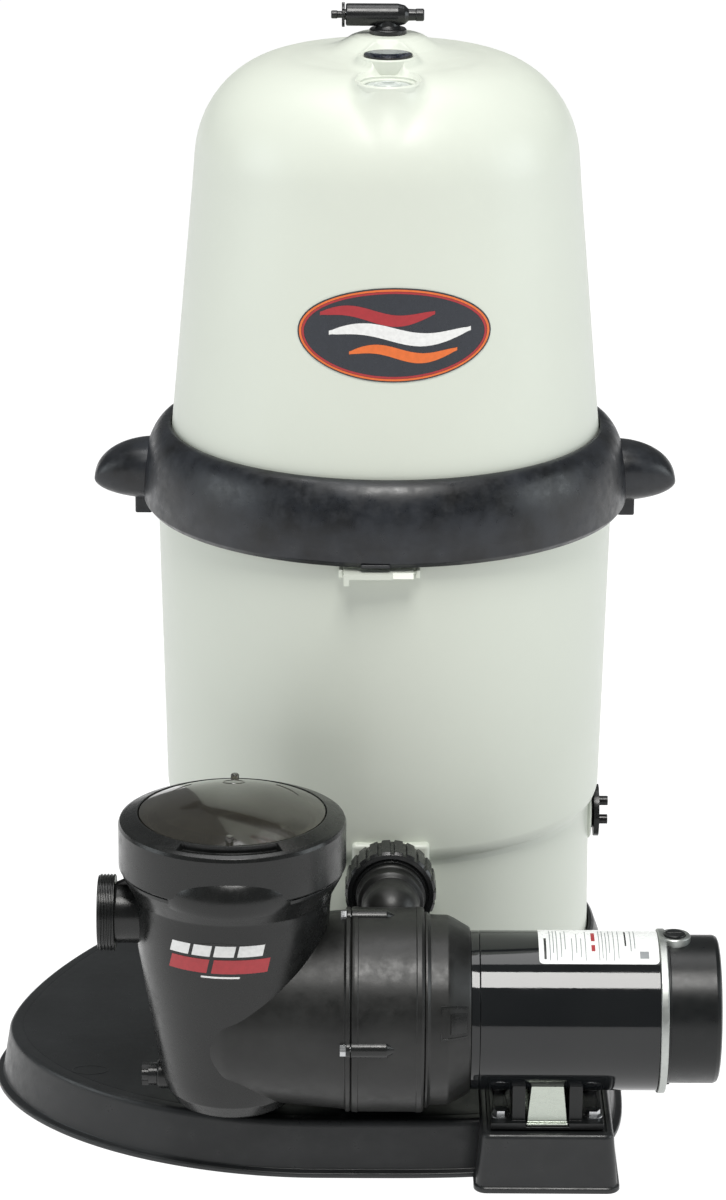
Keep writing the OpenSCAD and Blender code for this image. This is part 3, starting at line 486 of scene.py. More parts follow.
deck_steps = [(13.0, 0), (13.9, 0.8), (13.9, 3.6), (13.0, 4.7), (11.6, 5.1), (8.2, 5.5), (7.2, 6.8), (4.2, 26),
              (1.3, 43.5), (0.9, 45.8), (-0.2, 48.2), (-2.0, 49.5), (-4.2, 50.0), (-10.5, 50.0), (-11.2, 49.6),
              (-12.0, 49.6),
              (-12.7, 50.0), (-20.0, 50.0)]
piece("platform_deck", *loft([plan_ring(o, z) for o, z in deck_steps], cap_low=False), "base", DECK_BLACK,
      replaces=("platform",), angle=50, slot="platform_black")
block_steps = [(6.4, 0), (7.0, 0.8), (7.0, 3.8), (6.3, 4.8), (5.4, 5.1), (4.9, 6.2), (1.1, 49.6), (0.6, 51.8),
               (-0.6, 53.4),
               (-2.0, 53.9), (-4.6, 53.9), (-5.4, 53.3), (-5.8, 52.2), (-7.4, 52.0)]
piece("platform_pedestal", *loft([slab_ring(o, z) for o, z in block_steps], cap_low=False), "base", DECK_BLACK,
      angle=50, slot="platform_black")
collar = fillet([(204, 48), (221, 48), (220.4, 54, 5), (206, 95.5, 2), (203.5, 98, 1.5), (200.8, 98, 1), (200.6, 50.0)])
piece("platform_collar", *spun(collar, seg=200), "base", DECK_BLACK, slot="platform_black")
for k in range(4):
    turned = Matrix.Rotation(math.radians(45 + 90 * k), 4, "Z")
    boss = fillet([(0, 198), (9, 198), (9, 216.3, 1.2), (3.2, 216.5, 0.5), (3.1, 210)])
    piece(f"screw_boss_{k}", *moved(spun(boss, "x", 40, z=74), turned), "base", DECK_BLACK, slot="platform_black")
wide_oval, slim_oval = oval(17, 10, 48, -268, -262), oval(15.6, 8.8, 48, -268, -262)
oval_rings = [[(x, y, z) for x, y in line] for line, z in (
    (wide_oval, 49.8), (wide_oval, 50.25), (slim_oval, 50.25), (slim_oval, 49.8))]
piece("deck_oval", *loft(oval_rings, False, False), "base", DECK_BLACK, slot="platform_black")

# ---- tank ----


def dish(r):
    return 140 + 38 * (r / 191) ** 2


outer = [(199.2, 50.1), (198.6, 140), (198.0, 226)] + arc(197.5, 248, 9, 16, -80, -8, 10)
outer += [(207.6, 300), (209.5, 380), (212.3, 500), (212.9, 524), (213, 558.8, 1.2), (212.5, 560), (212.4, 557.2)]
inner = [(206.7, 557.2), (206.5, 560), (206.3, 559), (206.3, 500), (201.5, 252, 8), (191, 232, 8)]
inner += [(191 * k / 12, dish(191 * k / 12)) for k in range(12, -1, -1)]
piece("tank_wall", *spun(fillet(outer + inner, 0.6, 3), seg=256), "base", TANK_WHITE, replaces=("tank_body",),
      slot="tank_white")
skirt = [(192.4, 50.1), (191.8, 150)] + [(184 * k / 10, dish(184 * k / 10) - 6) for k in range(10, -1, -1)]
piece("tank_skirt", *spun([(199.1, 50.1)] + skirt, seg=160), "base", TANK_WHITE, slot="tank_white")
for tag, cx, sign in (("front", 6.5, -1), ("rear", 0.0, 1)):
    y_out, y_in = sign * 212.0, sign * 190.5
    lug = block(cx - 35.5, cx + 35.5, min(y_out, y_in), max(y_out, y_in), 160, 253)
    piece(f"port_pad_{tag}", *lug, "base", TANK_WHITE, bevel=4.0, parts=4, slot="tank_white")
drain_boss = fillet([(14.3, 182), (14.3, 200.4), (25.6, 200.4, 1.5), (27, 199, 1), (27, 182)])
piece("drain_boss", *spun(drain_boss, "x", 72, z=208), "base", TANK_WHITE, slot="tank_white")
for k, x in enumerate((-42, 27)):
    piece(f"latch_ear_{k}", *block(x, x + 4, -219.8, -209, 511, 519), "base", TANK_WHITE, bevel=1.2, parts=3,
          slot="tank_white")

# ---- head with cowl, gauge seat and cup ----

HEAD = [(200, 563.4), (215.6, 563.4, 0.5), (216, 571.3, 1.2), (213.8, 573.3, 1.2), (201.8, 574.3, 6)]
HEAD += [(r, 574.3 + (201.6 - r) * 11) for r in (199, 194, 189, 184, 179)]
HEAD += arc(85, 845, 92, 98, 4, 88, 22) + [(70, 945.6), (56, 948.6), (48, 951.2), (42, 954.4), (34, 959.4), (28, 961.6)]
HEAD += [(24, 962.0), (7, 962.0)]
CUP_HOLE, GAUGE_HOLE = 24.8, 22.2
NOSE_AT, NOSE_DIR = Vector((0, -123.6, 919.8)), Vector((0, -0.5671, -0.8236))


def soft_min(a, b, k):
    """The smaller of two values, blended where they are within k of each other."""
    h = max(k - abs(a - b), 0.0) / k
    return min(a, b) - h * h * k / 4


def cowl(p):
    """Signed distance to the cup with its tapering nose, and to the gauge's seat."""
    q = p - NOSE_AT
    along = q.dot(NOSE_DIR)
    reach = (q - NOSE_DIR * along).length
    nose = (reach - (27.5 - along * 0.34)) * 0.97
    nose = max(nose, along - 68, -along)
    cup = max(math.hypot(p.x, p.y - CUP_Y) - 28.6, p.z - 940.2, 915 - p.z)
    seat = max(math.hypot(p.x, p.y - GAUGE_Y) - 26.4, p.z - 952.8)
    return min(soft_min(nose, cup, 3.0), seat)


def head_skin():
    """The head's outside, pushed out over the cup and its nose, flattened round both rims and cut for both holes."""
    line = []
    raw = fillet(HEAD, 3.0, 3)
    for (r0, z0), (r1, z1) in zip(raw, raw[1:]):
        step = 3.0 if z0 > 780 else 14.0
        n = max(1, int(math.hypot(r1 - r0, z1 - z0) / step))
        line += [(r0 + (r1 - r0) * k / n, z0 + (z1 - z0) * k / n) for k in range(n)]
    line.append(raw[-1])
    seg = 512
    verts, faces = spun(line, seg=seg)
    m = len(line)
    out = []
    for idx, v in enumerate(verts):
        p = Vector(v)
        if p.z > 800 and p.y < -20 and abs(p.x) < 70:
            k = idx % m
            r0, z0 = line[max(k - 1, 0)]
            r1, z1 = line[min(k + 1, m - 1)]
            t = Vector((r1 - r0, z1 - z0)).normalized()
            a = math.atan2(p.y, p.x)
            normal = Vector((t.y * math.cos(a), t.y * math.sin(a), -t.x))
            if normal.dot(p - Vector((0, 0, 760))) < 0:
                normal = -normal
            ray = (p - Vector((0, 0, 790))).normalized()
            slope = max(normal.dot(ray), 0.2)
            low, high = -1.0, 60.0
            if soft_min(0.0, cowl(p), 11.0) < -0.02:
                for _ in range(22):
                    t_mid = (low + high) / 2
                    if soft_min(t_mid * slope, cowl(p + ray * t_mid), 11.0) < 0:
                        low = t_mid
                    else:
                        high = t_mid
                p = p + ray * low
        for cy, hole, top in ((CUP_Y, CUP_HOLE, 925), (GAUGE_Y, GAUGE_HOLE, 938)):
            d = math.hypot(p.x, p.y - cy)
            if p.z > top and abs(d - hole) < 1.3 and d > 0:
                p = Vector((p.x * hole / d, cy + (p.y - cy) * hole / d, p.z))
        if p.z > 925 and p.y < -20:
            p.z = soft_min(p.z, 940.0 + max(0.0, math.hypot(p.x, p.y - CUP_Y) - 29.0) * 1.6, 0.8)
            p.z = soft_min(p.z, 952.3 + max(0.0, math.hypot(p.x, p.y - GAUGE_Y) - 26.4) * 1.2, 0.8)
        out.append(tuple(p))
    kept = []
    for f in faces:
        c = sum((Vector(out[i]) for i in f), Vector()) / len(f)
        if c.z > 925 and math.hypot(c.x, c.y - CUP_Y) < CUP_HOLE:
            continue
        if c.z > 938 and math.hypot(c.x, c.y - GAUGE_Y) < GAUGE_HOLE:
            continue
        kept.append(f)
    return out, kept


piece("head_skin", *head_skin(), "head", TANK_WHITE, replaces=("tank_head",), angle=40, slot="tank_white")
lining = [(6.5, 962), (6.5, 956), (40, 948)] + arc(85, 845, 86, 92, 88, 2, 16)
lining += [(195.5, 575), (195.5, 563.4), (200, 563.4)]
piece("head_lining", *spun(lining, seg=160), "head", TANK_WHITE, slot="tank_white")
cup = fillet([(21.2, 931), (21.2, 937.4), (22.0, 938.2, 0.5), (24.6, 938.4, 0.4), (25.0, 940.4, 0.6),
              (27.6, 940.8, 1.2),
              (28.9, 939.4, 1.2), (28.9, 935)], 0.5)
piece("cup_rim", *spun(cup, seg=120, y=CUP_Y), "head", TANK_WHITE, slot="tank_white")
piece("cup_floor", *spun([(21.4, 931.3), (0.01, 931.3)], seg=48, y=CUP_Y), "head", TANK_WHITE, slot="tank_white")
seat = fillet([(22.12, 943), (22.12, 952.9, 0.4), (23.5, 953.5, 0.8), (26.0, 952.9, 1.6), (27.6, 939.5)], 0.5)
piece("gauge_seat", *spun(seat, seg=120, y=GAUGE_Y), "head", TANK_WHITE, slot="tank_white")
plug = fillet([(20.9, 931.4), (20.9, 936.6, 0.8), (18.4, 937.2, 0.8), (17.0, 936.2, 0.8), (12.8, 936.2, 0.8),
               (11.2, 939.0, 1.0), (6.6, 939.8, 0.5), (5.6, 939.2, 0.4), (5.2, 936.4, 0.3), (0.01, 936.4)], 0.4)
piece("port_disc", *spun(plug, seg=96, y=CUP_Y), "head", SILVER, replaces=("port_plug",), slot="silver_plug")


def badge_skin(shape, lift):
    """Points of (u, w) about the badge's centre laid on the head's cone."""
    out = []
    for u, w in shape:
        z = 727 + w
        r = 194.55 - (z - 660) * 12.5 / 140 + lift
        x = 6.5 + u
        out.append((x, -math.sqrt(max(r * r - x * x, 1)), z))
    return out


def oval_pts(f, g):
    return oval(86 * f, 42 * g, 96)


def badge_ring(name, inside, outside, lift, material):
    steps = 6
    rings = []
    for k in range(steps + 1):
        f = inside[0] + (outside[0] - inside[0]) * k / steps
        g = inside[1] + (outside[1] - inside[1]) * k / steps
        rings.append(badge_skin(oval_pts(f, g), lift))
    return piece(name, *loft(rings, False, False), "head", material, slot="badge")


plate = [badge_skin(oval_pts(k / 8, k / 8), 0.0) for k in range(1, 9)] + [badge_skin(oval_pts(1.0, 1.0), -1.1)]
verts, faces = loft(plate, False, False)
verts.append(badge_skin([(0, 0)], 0.0)[0])
faces += [(len(verts) - 1, i, (i + 1) % 96) for i in range(96)]
piece("badge_plate", verts, faces, "head", INK_SLATE, replaces=("badge",), slot="badge")
badge_ring("badge_rim_orange", (0.962, 0.93), (0.985, 0.972), 0.16, INK_ORANGE)
badge_ring("badge_rim_red", (0.935, 0.88), (0.958, 0.923), 0.16, INK_RED)


def wave_bar(name, u0, u1, base, swing, half, material):
    n = 40
    rows = []
    for k in range(n + 1):
        t = k / n
        u = u0 + (u1 - u0) * t
        w = base + swing * math.sin(t * 2.2 * math.pi)
        h = half * math.sin(math.pi * min(max(t, 0.02), 0.98)) ** 0.45
        rows.append([(u, w + h * s) for s in (-1, -0.5, 0, 0.5, 1)])
    rings = [badge_skin(r, 0.2) for r in rows]
    return piece(name, *loft(rings, False, False, closed=False), "head", material, slot="badge")


wave_bar("badge_wave_red", -66, 36, 17, 4.2, 5.4, INK_RED)
wave_bar("badge_wave_white", -58, 68, 0.5, 4.8, 6.2, INK_WHITE)
wave_bar("badge_wave_orange", -40, 56, -16.5, 4.2, 4.8, INK_ORANGE)

# ---- vent valve and gauge ----

VENT_Z = 979
barrel = fillet([(5.2, -37.6), (5.2, -38.4, 0.3), (9.3, -38.4, 0.6), (10.2, -37.2, 0.8), (10.2, 9, 6), (8.6, 15.4, 3),
                 (5.4, 18.6, 1.5), (5.2, 25.0, 0.5), (5.7, 25.8, 0.4), (5.7, 32.0, 0.9), (4.6, 32.9, 0.5),
                 (2.6, 32.9, 0.3),
                 (2.5, 22)], 1.0)
stem = fillet([(0, 962.1), (16.3, 962.1, 0.6), (17, 962.9, 0.6), (17, 965.9, 0.9), (15.8, 967.0, 0.9),
               (12.6, 967.3, 1.2),
               (10.4, 969.6, 1.8), (9.1, 973.5, 2), (8.8, 979)], 0.8)
piece("vent_barrel", *spun(barrel, "x", 96, z=VENT_Z), "head", FITTING_BLACK, replaces=("relief_body",),
      slot="fitting_black")
piece("vent_neck", *spun(stem, seg=96), "head", FITTING_BLACK, slot="fitting_black")
teeth = []
for i in range(88):
    a = 2 * math.pi * i / 88
    r = 11.2 if (i // 4) % 2 == 0 else 9.4
    teeth.append((r * math.cos(a), r * math.sin(a)))
thumb = [(h, u, VENT_Z + v) for h in (-42.0, -39.4) for u, v in teeth]
n = len(teeth)
thumb_faces = [(i, (i + 1) % n, n + (i + 1) % n, n + i) for i in range(n)]
thumb_faces += [tuple(range(n))[::-1], tuple(range(n, 2 * n))]
piece("vent_thumb_disc", thumb, thumb_faces, "relief_screw", FITTING_BLACK, replaces=("relief_screw",), bevel=0.35,
      slot="fitting_black")
peg = fillet([(0.01, -51.8), (3.0, -51.8, 0.6), (3.7, -51, 0.6), (3.7, -46.5, 0.3), (3.2, -46, 0.3), (3.2, -42, 0.4),
              (4.9, -41.5, 0.4), (4.9, -6.5, 0.5), (0.01, -6)], 0.4)
piece("vent_peg", *spun(peg, "x", 48, z=VENT_Z), "relief_screw", FITTING_BLACK, slot="fitting_black")
case = fillet([(0.01, 943.3), (21.6, 943.3), (21.95, 944), (21.95, 954.9, 0.4), (21.1, 954.95, 0.2), (21.05, 953.55),
               (20.3, 953.5), (20.2, 947.2), (0.01, 947.2)], 0.15)
piece("gauge_bowl", *spun(case, seg=96, y=GAUGE_Y), "head", FITTING_BLACK, replaces=("gauge_case",), slot="gauge_black")
ticks = []
for k in range(28):
    a = math.radians(-135 + 270 * k / 27)
    long_one = k % 3 == 0
    m = Matrix.Translation((0, GAUGE_Y, 948.05)) @ Matrix.Rotation(a, 4, "Z")
    ticks.append(moved(block(-0.28, 0.28, 14.6 if long_one else 16.2, 18.4, 0, 0.12), m))
piece("gauge_ticks", *join(*ticks), "head", INK_WHITE, slot="gauge_face")

# ---- lock ring ----

band = [(200.9, 596.0), (201.3, 597.6)] + [
    (203 + 24.2 * math.sin(math.radians(t)), 540 + 58 * math.cos(math.radians(t))) for t in range(3, 91, 3)]
band += fillet([(227.2, 538), (226.6, 526.8, 3), (222.6, 521.9, 2), (214.9, 521.6, 0.8), (214.3, 523), (214.3, 527),
                (218.2, 529.5), (218.2, 570.5, 2), (216.0, 574.6, 1.5), (203.6, 588.5, 2), (200.9, 590.5, 0.5),
                (200.9, 596.0)], 0.4)
piece("ring_band", *spun(fillet(band, 1.0, 5), seg=320), "lock_ring", RING_BLACK, replaces=("lock_ring",),
      slot="ring_black", angle=45)


def fin(side):
    """A closed grip with an egg-like section that narrows to a rounded tip."""
    rings = []
    steps = 26
    for i in range(steps + 1):
        u = math.sin(i / steps * math.pi / 2)
        x = 214 + (272.8 - 214) * u
        e = max(1 - u**2.2, 0.0) ** 0.5
        mid_z, h = 541 + 9.5 * e, max(27.5 * e, 0.15)
        w = (36 - 13 * u**1.6) * max(e, 0.02) ** 0.35
        ring = []
        for k in range(56):
            a = 2 * math.pi * k / 56
            c, d = math.cos(a), math.sin(a)
            q = 2 / 2.5
            ring.append((side * x, w * math.copysign(abs(c) ** q, c), mid_z + h * math.copysign(abs(d) ** q, d)))
        rings.append(ring)
    return loft(rings)


for tag, side in (("left", -1), ("right", 1)):
    piece(f"ring_grip_{tag}", *fin(side), "lock_ring", RING_BLACK, slot="ring_black", angle=60)
    x0, x1 = sorted((side * 219.0, side * 234.6))
    piece(f"ring_lug_{tag}", *block(x0, x1, -11, 11, 508.2, 530), "lock_ring", RING_BLACK, bevel=1.6, parts=3,
          slot="ring_black")
piece("ring_tab", *block(-22, 4, -228.0, -219, 522.8, 526), "lock_ring", RING_BLACK, bevel=0.9, parts=3,
      slot="ring_black")

# ---- strainer pot ----

pot = [(0.01, 58.1), (39, 58.1, 3), (52, 63, 6), (60.5, 76, 6), (65, 92, 8), (74, 146, 20), (84, 208, 20),
       (86.6, 250, 6),
       (88, 261, 6), (97.6, 279.4, 3), (98.4, 283.0, 0.6), (86.0, 283.3, 0.3), (86.0, 321.8, 0.6), (84.5, 321.9, 0.2),
       (84.4, 319.5), (78.9, 319.5), (78.2, 321.9, 0.3), (78.0, 320), (78, 250, 4), (77, 208, 4), (69, 146, 10),
       (60, 96, 4),
       (56, 80, 6), (36, 66, 3), (0.01, 66)]
piece("pot_wall", *spun(fillet(pot, 0.6, 5), seg=224, x=POT_X, y=PUMP_Y), "base", PUMP_BLACK,
      replaces=("strainer_housing",),
      slot="pump_black", angle=40)
cone = fillet([(0.01, -186), (30, -184, 12), (62, -168, 24), (77.5, -140, 24), (81.5, -112, 10), (88.6, -34.4, 1.5),
               (91.0, -33.2, 0.8), (91.0, -30.2, 0.8), (90.2, -29.15, 0.4), (30, -29.1)], 0.5)
piece("pot_cone", *spun(cone, "x", 224, y=PUMP_Y, z=PUMP_Z), "base", VOLUTE_BLACK, slot="pump_black")
ridges = []
for k in range(5):
    h = -251.2 + k * 2.9
    ridges += [(33.1, h), (34.0, h + 0.5), (34.0, h + 1.5), (33.1, h + 2.0)]
suction = [(24.3, -238), (24.3, -252.4, 0.4), (25, -253, 0.5), (32.4, -253, 0.6), (33.1, -252.2)] + ridges
suction += [(33.4, -238.2, 0.6), (27.4, -237.8, 1.5), (27.0, -236), (27.0, -190, 4), (32, -178)]
piece("suction_collar", *spun(fillet(suction, 0.3, 3), "x", 128, y=PUMP_Y, z=238), "base", PUMP_BLACK,
      slot="pump_black")
piece("suction_throat", *spun([(24.3, -238), (20.2, -237), (20.2, -205)], "x", 96, y=PUMP_Y, z=238), "base", PUMP_BLACK,
      slot="pump_black")
gusset = [[(-237, PUMP_Y - 2.6, 232), (-237, PUMP_Y + 2.6, 232), (-205, PUMP_Y + 2.6, 232), (-205, PUMP_Y - 2.6, 232)],
          [(-237, PUMP_Y - 2.6, 266.5), (-237, PUMP_Y + 2.6, 266.5), (-216, PUMP_Y + 2.6, 276),
           (-216, PUMP_Y - 2.6, 276)]]
piece("suction_gusset", *loft(gusset), "base", PUMP_BLACK, bevel=1.2, slot="pump_black")
stub = fillet([(6.7, -190), (6.7, -201.9), (12.2, -201.9, 0.8), (13, -201, 0.8), (13, -185)], 0.5)
piece("pot_drain_boss", *spun(stub, "x", 56, y=PUMP_Y, z=82), "base", PUMP_BLACK, slot="pump_black")


def pot_r(z):
    return 84 + (z - 208) * 2.5 / 42


def pot_skin(shape, lift):
    out = []
    for u, w in shape:
        z, x = 226 + w, -9.6 + u
        r = pot_r(z) + 0.3 + lift
        out.append((POT_X + x, PUMP_Y - math.sqrt(max(r * r - x * x, 1)), z))
    return out


def pot_patch(name, u0, u1, w0, w1, lift, material, lean=0.0):
    nu, nw = 14, 3
    rings = []
    for j in range(nw + 1):
        w = w0 + (w1 - w0) * j / nw
        rings.append(pot_skin([(u0 + (u1 - u0) * i / nu + lean * (w - w0), w) for i in range(nu + 1)], lift))
    return piece(name, *loft(rings, False, False, closed=False), "base", material, slot="pot_label")


rings = [pot_skin(oval(45 * f, 18 * f, 72), 0) for f in (0.25, 0.5, 0.75, 0.93, 1.0)]
rings.append(pot_skin(oval(45, 18, 72), -0.5))
verts, faces = loft(rings, True, False)
piece("pot_badge", verts, faces, "base", PUMP_BLACK, replaces=("pot_label",), slot="pot_label")
for k, (u0, u1, w0, w1, m) in enumerate((
        (-43, -27, 5.0, 15.5, INK_WHITE), (-24, -8, 5.0, 15.5, INK_WHITE), (-5, 13, 5.0, 15.5, INK_WHITE),
        (16, 38, 5.0, 15.5, INK_WHITE), (-44, -11, -11.0, 2.2, INK_RED), (-7, 42, -11.0, 2.2, INK_RED),
        (-16, 18, -15.6, -13.8, INK_WHITE))):
    pot_patch(f"pot_bar_{k}", u0, u1, w0, w1, 0.12, m, lean=0.22)

# ---- strainer lid and its ring ----

LID_TOP, LID_BALL = 350, 218.125  # the lid's highest point and the radius of its crown


def dome_z(r):
    return LID_TOP - LID_BALL + math.sqrt(LID_BALL**2 - r * r)


crown = [(82 * k / 16, dome_z(82 * k / 16)) for k in range(16, -1, -1)]
under = [(r, z - 4) for r, z in crown if r < 71][::-1]
lid = [(70, 318.2), (75.6, 318.2, 0.5), (76.5, 324.6, 0.8), (91.6, 324.8, 0.3), (92, 327.1, 0.3), (82.4, 327.5, 1.2)]
lid_line = fillet(lid, 0.5, 3)[:-1] + [(82.6, 327.6), (82.4, 332.6)] + crown[:-1] + [(0.01, 350)]
lid_line += [(0.01, 346)] + under[1:] + [(70, 318.2)]
piece("lid_dome", *spun(lid_line, seg=192, x=POT_X, y=PUMP_Y), "lid", SMOKED, replaces=("pot_lid",), slot="smoked_lid",
      angle=45)
for k, s in enumerate((-1, 1)):
    nub = fillet([(3.8, 331), (3.8, 339.6, 1.0), (3.0, 340.8, 0.8), (0.01, 341)], 0.5)
    piece(f"lid_nub_{k}", *spun(nub, seg=32, x=POT_X, y=PUMP_Y + s * 77), "lid", SMOKED, slot="smoked_lid")


def dome_ring(cx, cy, radius, wide, high, a0=0.0, a1=360.0):
    rings = []
    n = 64
    full = a1 - a0 >= 359.9
    count = n if full else n + 1
    for r, lift in ((radius - wide, -0.05), (radius - wide * 0.5, high),
                    (radius + wide * 0.5, high), (radius + wide, -0.05)):
        ring = []
        for i in range(count):
            a = math.radians(a0 + (a1 - a0) * i / n)
            x, y = cx + r * math.cos(a), cy + r * math.sin(a)
            ring.append((POT_X + x, PUMP_Y + y, dome_z(math.hypot(x, y)) + lift))
        rings.append(ring)
    return loft(rings, False, False, closed=full)


piece("lid_mark_ring", *dome_ring(0, 44, 9.5, 0.8, 0.4), "lid", SMOKED, slot="smoked_lid")
piece("lid_mark_left", *dome_ring(0, 0, 62, 0.7, 0.4, 128, 158), "lid", SMOKED, slot="smoked_lid")
piece("lid_mark_right", *dome_ring(0, 0, 62, 0.7, 0.4, 22, 52), "lid", SMOKED, slot="smoked_lid")


def ring_top(r):
    return 334.5 - (r - 83.2) * 6.5 / 15.8


collar_line = [(93.2, 284.4), (99.2, 284.4, 0.6), (100.4, 285.8, 0.8), (100.4, 324.4, 0.8), (99.2, 327.6, 1.2)]
collar_line = fillet(collar_line + [(96.4, ring_top(96.4))], 0.8, 3)
slot_from = len(collar_line)
collar_line += [(95.2, ring_top(95.2)), (95.0, ring_top(95.0) - 0.1), (94.6, ring_top(94.6)), (85.9, ring_top(85.9)),
                (85.5, ring_top(85.5) - 0.1), (85.3, ring_top(85.3))]
slot_to = len(collar_line)
collar_line += [(84.2, ring_top(84.2)), (83.4, 334.1), (83.2, 333.4), (83.2, 327.6), (93, 327.5), (93.2, 284.4)]
verts, faces = spun(collar_line, seg=360, x=POT_X, y=PUMP_Y)
m = len(collar_line)
for i, v in enumerate(verts):
    k = i % m
    deg = (i // m) % 360
    off = min(abs(deg - 270), abs(deg - 90))
    if slot_from < k < slot_to - 1 and off < 28.5:
        verts[i] = (v[0], v[1], v[2] - (5.4 if slot_from + 1 < k < slot_to - 2 else 0.6))
piece("lid_ring_band", verts, faces, "lid_ring", PUMP_BLACK, replaces=("lid_ring",), slot="pump_black", angle=42)


def grip(s):
    """The finger grip: half an egg that bulges from the ring, cut flat below and hollow where it passes the pot."""
    wide, deep, tall, cz, low, hug = 66.0, 61.8, 40.0, 285.0, 275.0, 94.2
    rings = []
    for j in range(37):
        z = low + (cz + tall * 0.985 - low) * math.sin(math.pi / 2 * j / 36)
        f = math.sqrt(max(1 - ((z - cz) / tall) ** 2, 0.0))
        ring = []
        for i in range(73):
            a = math.pi * i / 72
            x, y = wide * f * math.cos(a), 46 + deep * f * math.sin(a)
            k = max(hug / math.hypot(x, y), 1.0)
            ring.append((POT_X + x * k, PUMP_Y + s * y * k, z))
        rings.append(ring)
    inner = []
    for x, y, z in rings[0]:
        k = hug / math.hypot(x - POT_X, y - PUMP_Y)
        inner.append((POT_X + (x - POT_X) * k, PUMP_Y + (y - PUMP_Y) * k))
    inside = [[(x, y, z) for x, y in inner] for z in (287.0, low)]
    return loft(inside + rings, False, False, closed=False)


for tag, s in (("front", -1), ("rear", 1)):
    piece(f"lid_grip_{tag}", *grip(s), "lid_ring", PUMP_BLACK, slot="pump_black", angle=60)

# ---- volute, outlet and union ----

casing = [(30, -28.95), (89.4, -28.95), (91.2, -27.6, 0.8), (91.5, -25.6, 0.3), (91.5, -22.8, 0.3), (90.9, -22.2, 0.3),
          (90.9, 28.6, 0.3), (91.5, 29.4, 0.3), (91.5, 33.4, 0.5), (90.4, 35.4, 0.6), (89.6, 35.9, 0.3), (80, 35.9),
          (80, -21),
          (30, -21)]
piece("volute_drum", *spun(fillet(casing, 0.5, 3), "x", 256, y=PUMP_Y, z=PUMP_Z), "base", VOLUTE_BLACK,
      replaces=("volute_casing",), slot="pump_black")
for k in range(4):
    a = math.radians(90 * k)
    y, z = PUMP_Y + 88 * math.sin(a), PUMP_Z + 88 * math.cos(a)
    boss = fillet([(0.01, -28.9), (6.6, -28.9, 0.6), (7.4, -28.2, 0.8), (7.4, 2.6, 2.5), (3.0, 9.5, 4), (0.2, 17.0)],
                  0.6, 4)
    piece(f"volute_boss_{k}", *spun(boss, "x", 48, y=y, z=z), "base", PUMP_BLACK, slot="pump_black")
    ear = fillet([(3.3, -33), (7.4, -33, 0.8), (7.4, -29.2, 0.5), (3.3, -29.2)], 0.4)
    piece(f"pot_ear_{k}", *spun(ear, "x", 40, y=y, z=z), "base", PUMP_BLACK, slot="pump_black")
UX, UZ = 6.5, 218.0
spout = [(24.3, -250.5), (24.3, -249.1), (30.6, -249.1, 0.6), (31.5, -250, 0.6), (31.5, -253.6, 0.8),
         (30.2, -254.6, 0.6),
         (30.0, -266.6, 1.2), (28.4, -268, 1.2), (26.0, -269.6, 2), (26.0, -284)] + arc(0, -285, 26, -26, 0, 90, 12)[1:]
piece("volute_spout", *spun(fillet(spout, 0.8, 4), "y", 128, x=UX, z=UZ), "base", VOLUTE_BLACK, slot="pump_black")
nut = fillet([(33.9, -213.6), (36.6, -213.2, 0.6), (41.4, -214.6, 0.8), (41.4, -244.4, 1.0), (39.0, -247.2, 1.2),
              (35.2, -247.9, 0.6), (34.4, -246.4, 0.4), (33.0, -246.2, 0.3), (32.4, -247.4, 0.3), (29.6, -247.6, 0.4),
              (28.8, -246.0, 0.4), (25.4, -246.0, 0.3), (25.3, -243.8), (33.9, -243.6), (33.9, -213.6)], 0.6, 3)
verts, faces = spun(nut, "y", 352, x=UX, z=UZ)
m = len(nut)
for i, v in enumerate(verts):
    seg_i, k = divmod(i, m)
    r, h = nut[k]
    if r > 38.5 and -246.2 < h < -213.4:
        wave = (seg_i % 16) / 16
        dip = 1.7 if wave < 0.28 else 0.0
        f = (r - dip) / r
        verts[i] = (UX + (v[0] - UX) * f, v[1], UZ + (v[2] - UZ) * f)
piece("union_nut_skin", verts, faces, "union_nut", FITTING_BLACK, replaces=("union_nut",), slot="fitting_black",
      angle=30)

# ---- motor ----

bracket = [(66, 36.1), (86.2, 36.1, 0.4), (87.0, 37, 0.5), (87.0, 38.6, 0.5), (85.6, 40.2, 0.6), (84.8, 41.5, 1),
           (84.5, 57, 6),
           (82, 62.4, 6), (74.4, 75.4, 2), (73.0, 76.9, 0.8), (70.6, 76.95, 0.3), (42, 76.9), (42, 66), (66, 60)]
piece("bracket_shell", *spun(fillet(bracket, 0.6, 5), "x", 224, y=PUMP_Y, z=PUMP_Z), "base", VOLUTE_BLACK,
      replaces=("motor_bracket",), slot="pump_black")


def bracket_r(x):
    pts = [(41.5, 84.8), (57, 84.5), (62.4, 82), (75.4, 74.4), (77, 73)]
    for (x0, r0), (x1, r1) in zip(pts, pts[1:]):
        if x <= x1:
            return r0 + (r1 - r0) * (x - x0) / (x1 - x0)
    return 73.0


def latch_strip(name, x0, x1, a0, a1, lift):
    """A thin raised strip on the bracket between X and angles above the horizontal at the front."""
    rings = []
    nx, na = 10, 8
    for j in range(nx + 1):
        x = x0 + (x1 - x0) * j / nx
        line = []
        for i in range(na + 1):
            a = math.radians(a0 + (a1 - a0) * i / na)
            r = bracket_r(x) + lift
            line.append((x, PUMP_Y - r * math.cos(a), PUMP_Z + r * math.sin(a)))
        for i in range(na, -1, -1):
            a = math.radians(a0 + (a1 - a0) * i / na)
            r = bracket_r(x) - 1.0
            line.append((x, PUMP_Y - r * math.cos(a), PUMP_Z + r * math.sin(a)))
        rings.append(line)
    return piece(name, *loft(rings), "base", PUMP_BLACK, bevel=0.3, slot="pump_black", angle=50)


